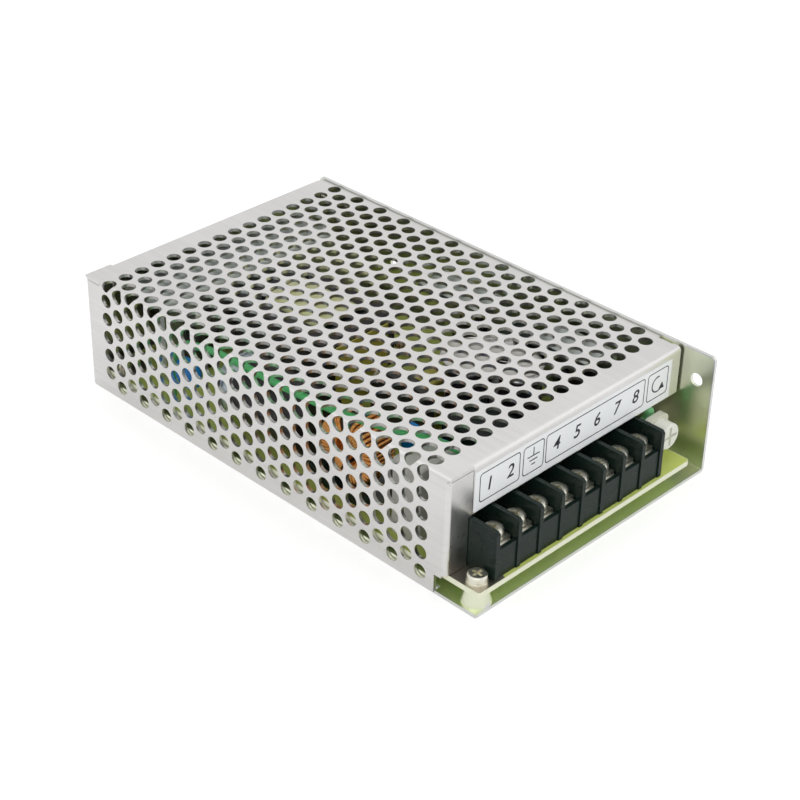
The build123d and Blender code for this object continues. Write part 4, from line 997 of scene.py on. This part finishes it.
# Camera at the photograph's place
cameraShape = {
    "place": (-0.33890, -0.32764, 0.30851), "turnDeg": (57.88584, -0.81705, -44.89154),
    "lens": 85.2534, "shift": (0.033253, -0.014574), "clipStart": 0.01,
}
deselectAll()
bpy.ops.object.camera_add(
    location=cameraShape["place"], rotation=[math.radians(turn) for turn in cameraShape["turnDeg"]]
)
camera = bpy.context.object
camera.data.lens = cameraShape["lens"]
camera.data.shift_x, camera.data.shift_y = cameraShape["shift"]
camera.data.clip_start = cameraShape["clipStart"]
bpy.context.scene.camera = camera

# Floor and light: seen is what the camera sees, and mirrored what reflections show
stageShape = {
    "floorSize": 8.0, "floorTone": 0.88, "floorDrop": 0.05 * mm,
    "floorLight": 0.0, "floorSeen": 0.34, "floorMirrored": 0.07,
    "skyLight": 0.75, "skySeen": 1.0, "skyMirrored": 0.78,
    "lamps": (  # name, place, size and watts of each, all aimed at the middle
        ("keyLamp", (-0.9, -0.7, 1.1), 1.6, 3.2),
        ("topLamp", (0.1, 0.3, 1.5), 1.8, 2.6),
        ("fillLamp", (0.9, -0.9, 0.8), 1.4, 1.8),
    ),
}


# A strength that differs where the camera sees it, straight or through glass, and in reflections
def byRay(tree, plain, seen, mirrored):
    path = addNode(tree, "ShaderNodeLightPath")
    straight = mathStep(tree, "MAXIMUM", path.outputs["Is Camera Ray"], path.outputs["Is Transmission Ray"])
    seenPart = mathStep(tree, "MULTIPLY", straight, seen - plain)
    mirroredPart = mathStep(tree, "MULTIPLY", path.outputs["Is Glossy Ray"], mirrored - plain)
    return mathStep(tree, "ADD", mathStep(tree, "ADD", seenPart, mirroredPart), plain)


def makeFloor():
    deselectAll()
    bpy.ops.mesh.primitive_plane_add(size=stageShape["floorSize"], location=(0, 0, -stageShape["floorDrop"]))
    floor = named("floor")
    tree, shader = newSurface("floorPaper", roughness=1.0)
    shader.inputs["Specular IOR Level"].default_value = 0.0
    feed(tree, [stageShape["floorTone"]] * 3, shader.inputs["Base Color"])
    feed(tree, (1, 1, 1), shader.inputs["Emission Color"])
    strength = byRay(tree, stageShape["floorLight"], stageShape["floorSeen"], stageShape["floorMirrored"])
    feed(tree, strength, shader.inputs["Emission Strength"])
    setFinish(floor, "floorPaper")


def makeSky():
    world = bpy.data.worlds.new("studio")
    bpy.context.scene.world = world
    world.use_nodes = True
    tree = world.node_tree
    sky = tree.nodes["Background"]
    feed(tree, (1, 1, 1), sky.inputs["Color"])
    strength = byRay(tree, stageShape["skyLight"], stageShape["skySeen"], stageShape["skyMirrored"])
    feed(tree, strength, sky.inputs["Strength"])


def makeLamps():
    for name, place, size, watts in stageShape["lamps"]:
        deselectAll()
        bpy.ops.object.light_add(type="AREA", location=place)
        lamp = bpy.context.object
        lamp.name = name
        lamp.data.shape = "SQUARE"
        lamp.data.size = size
        lamp.data.energy = watts
        lamp.rotation_euler = (-Vector(place)).to_track_quat("-Z", "Y").to_euler()


makeFloor()
makeSky()
makeLamps()
bpy.context.scene.view_settings.view_transform = "Standard"
print("camera, floor and light made")
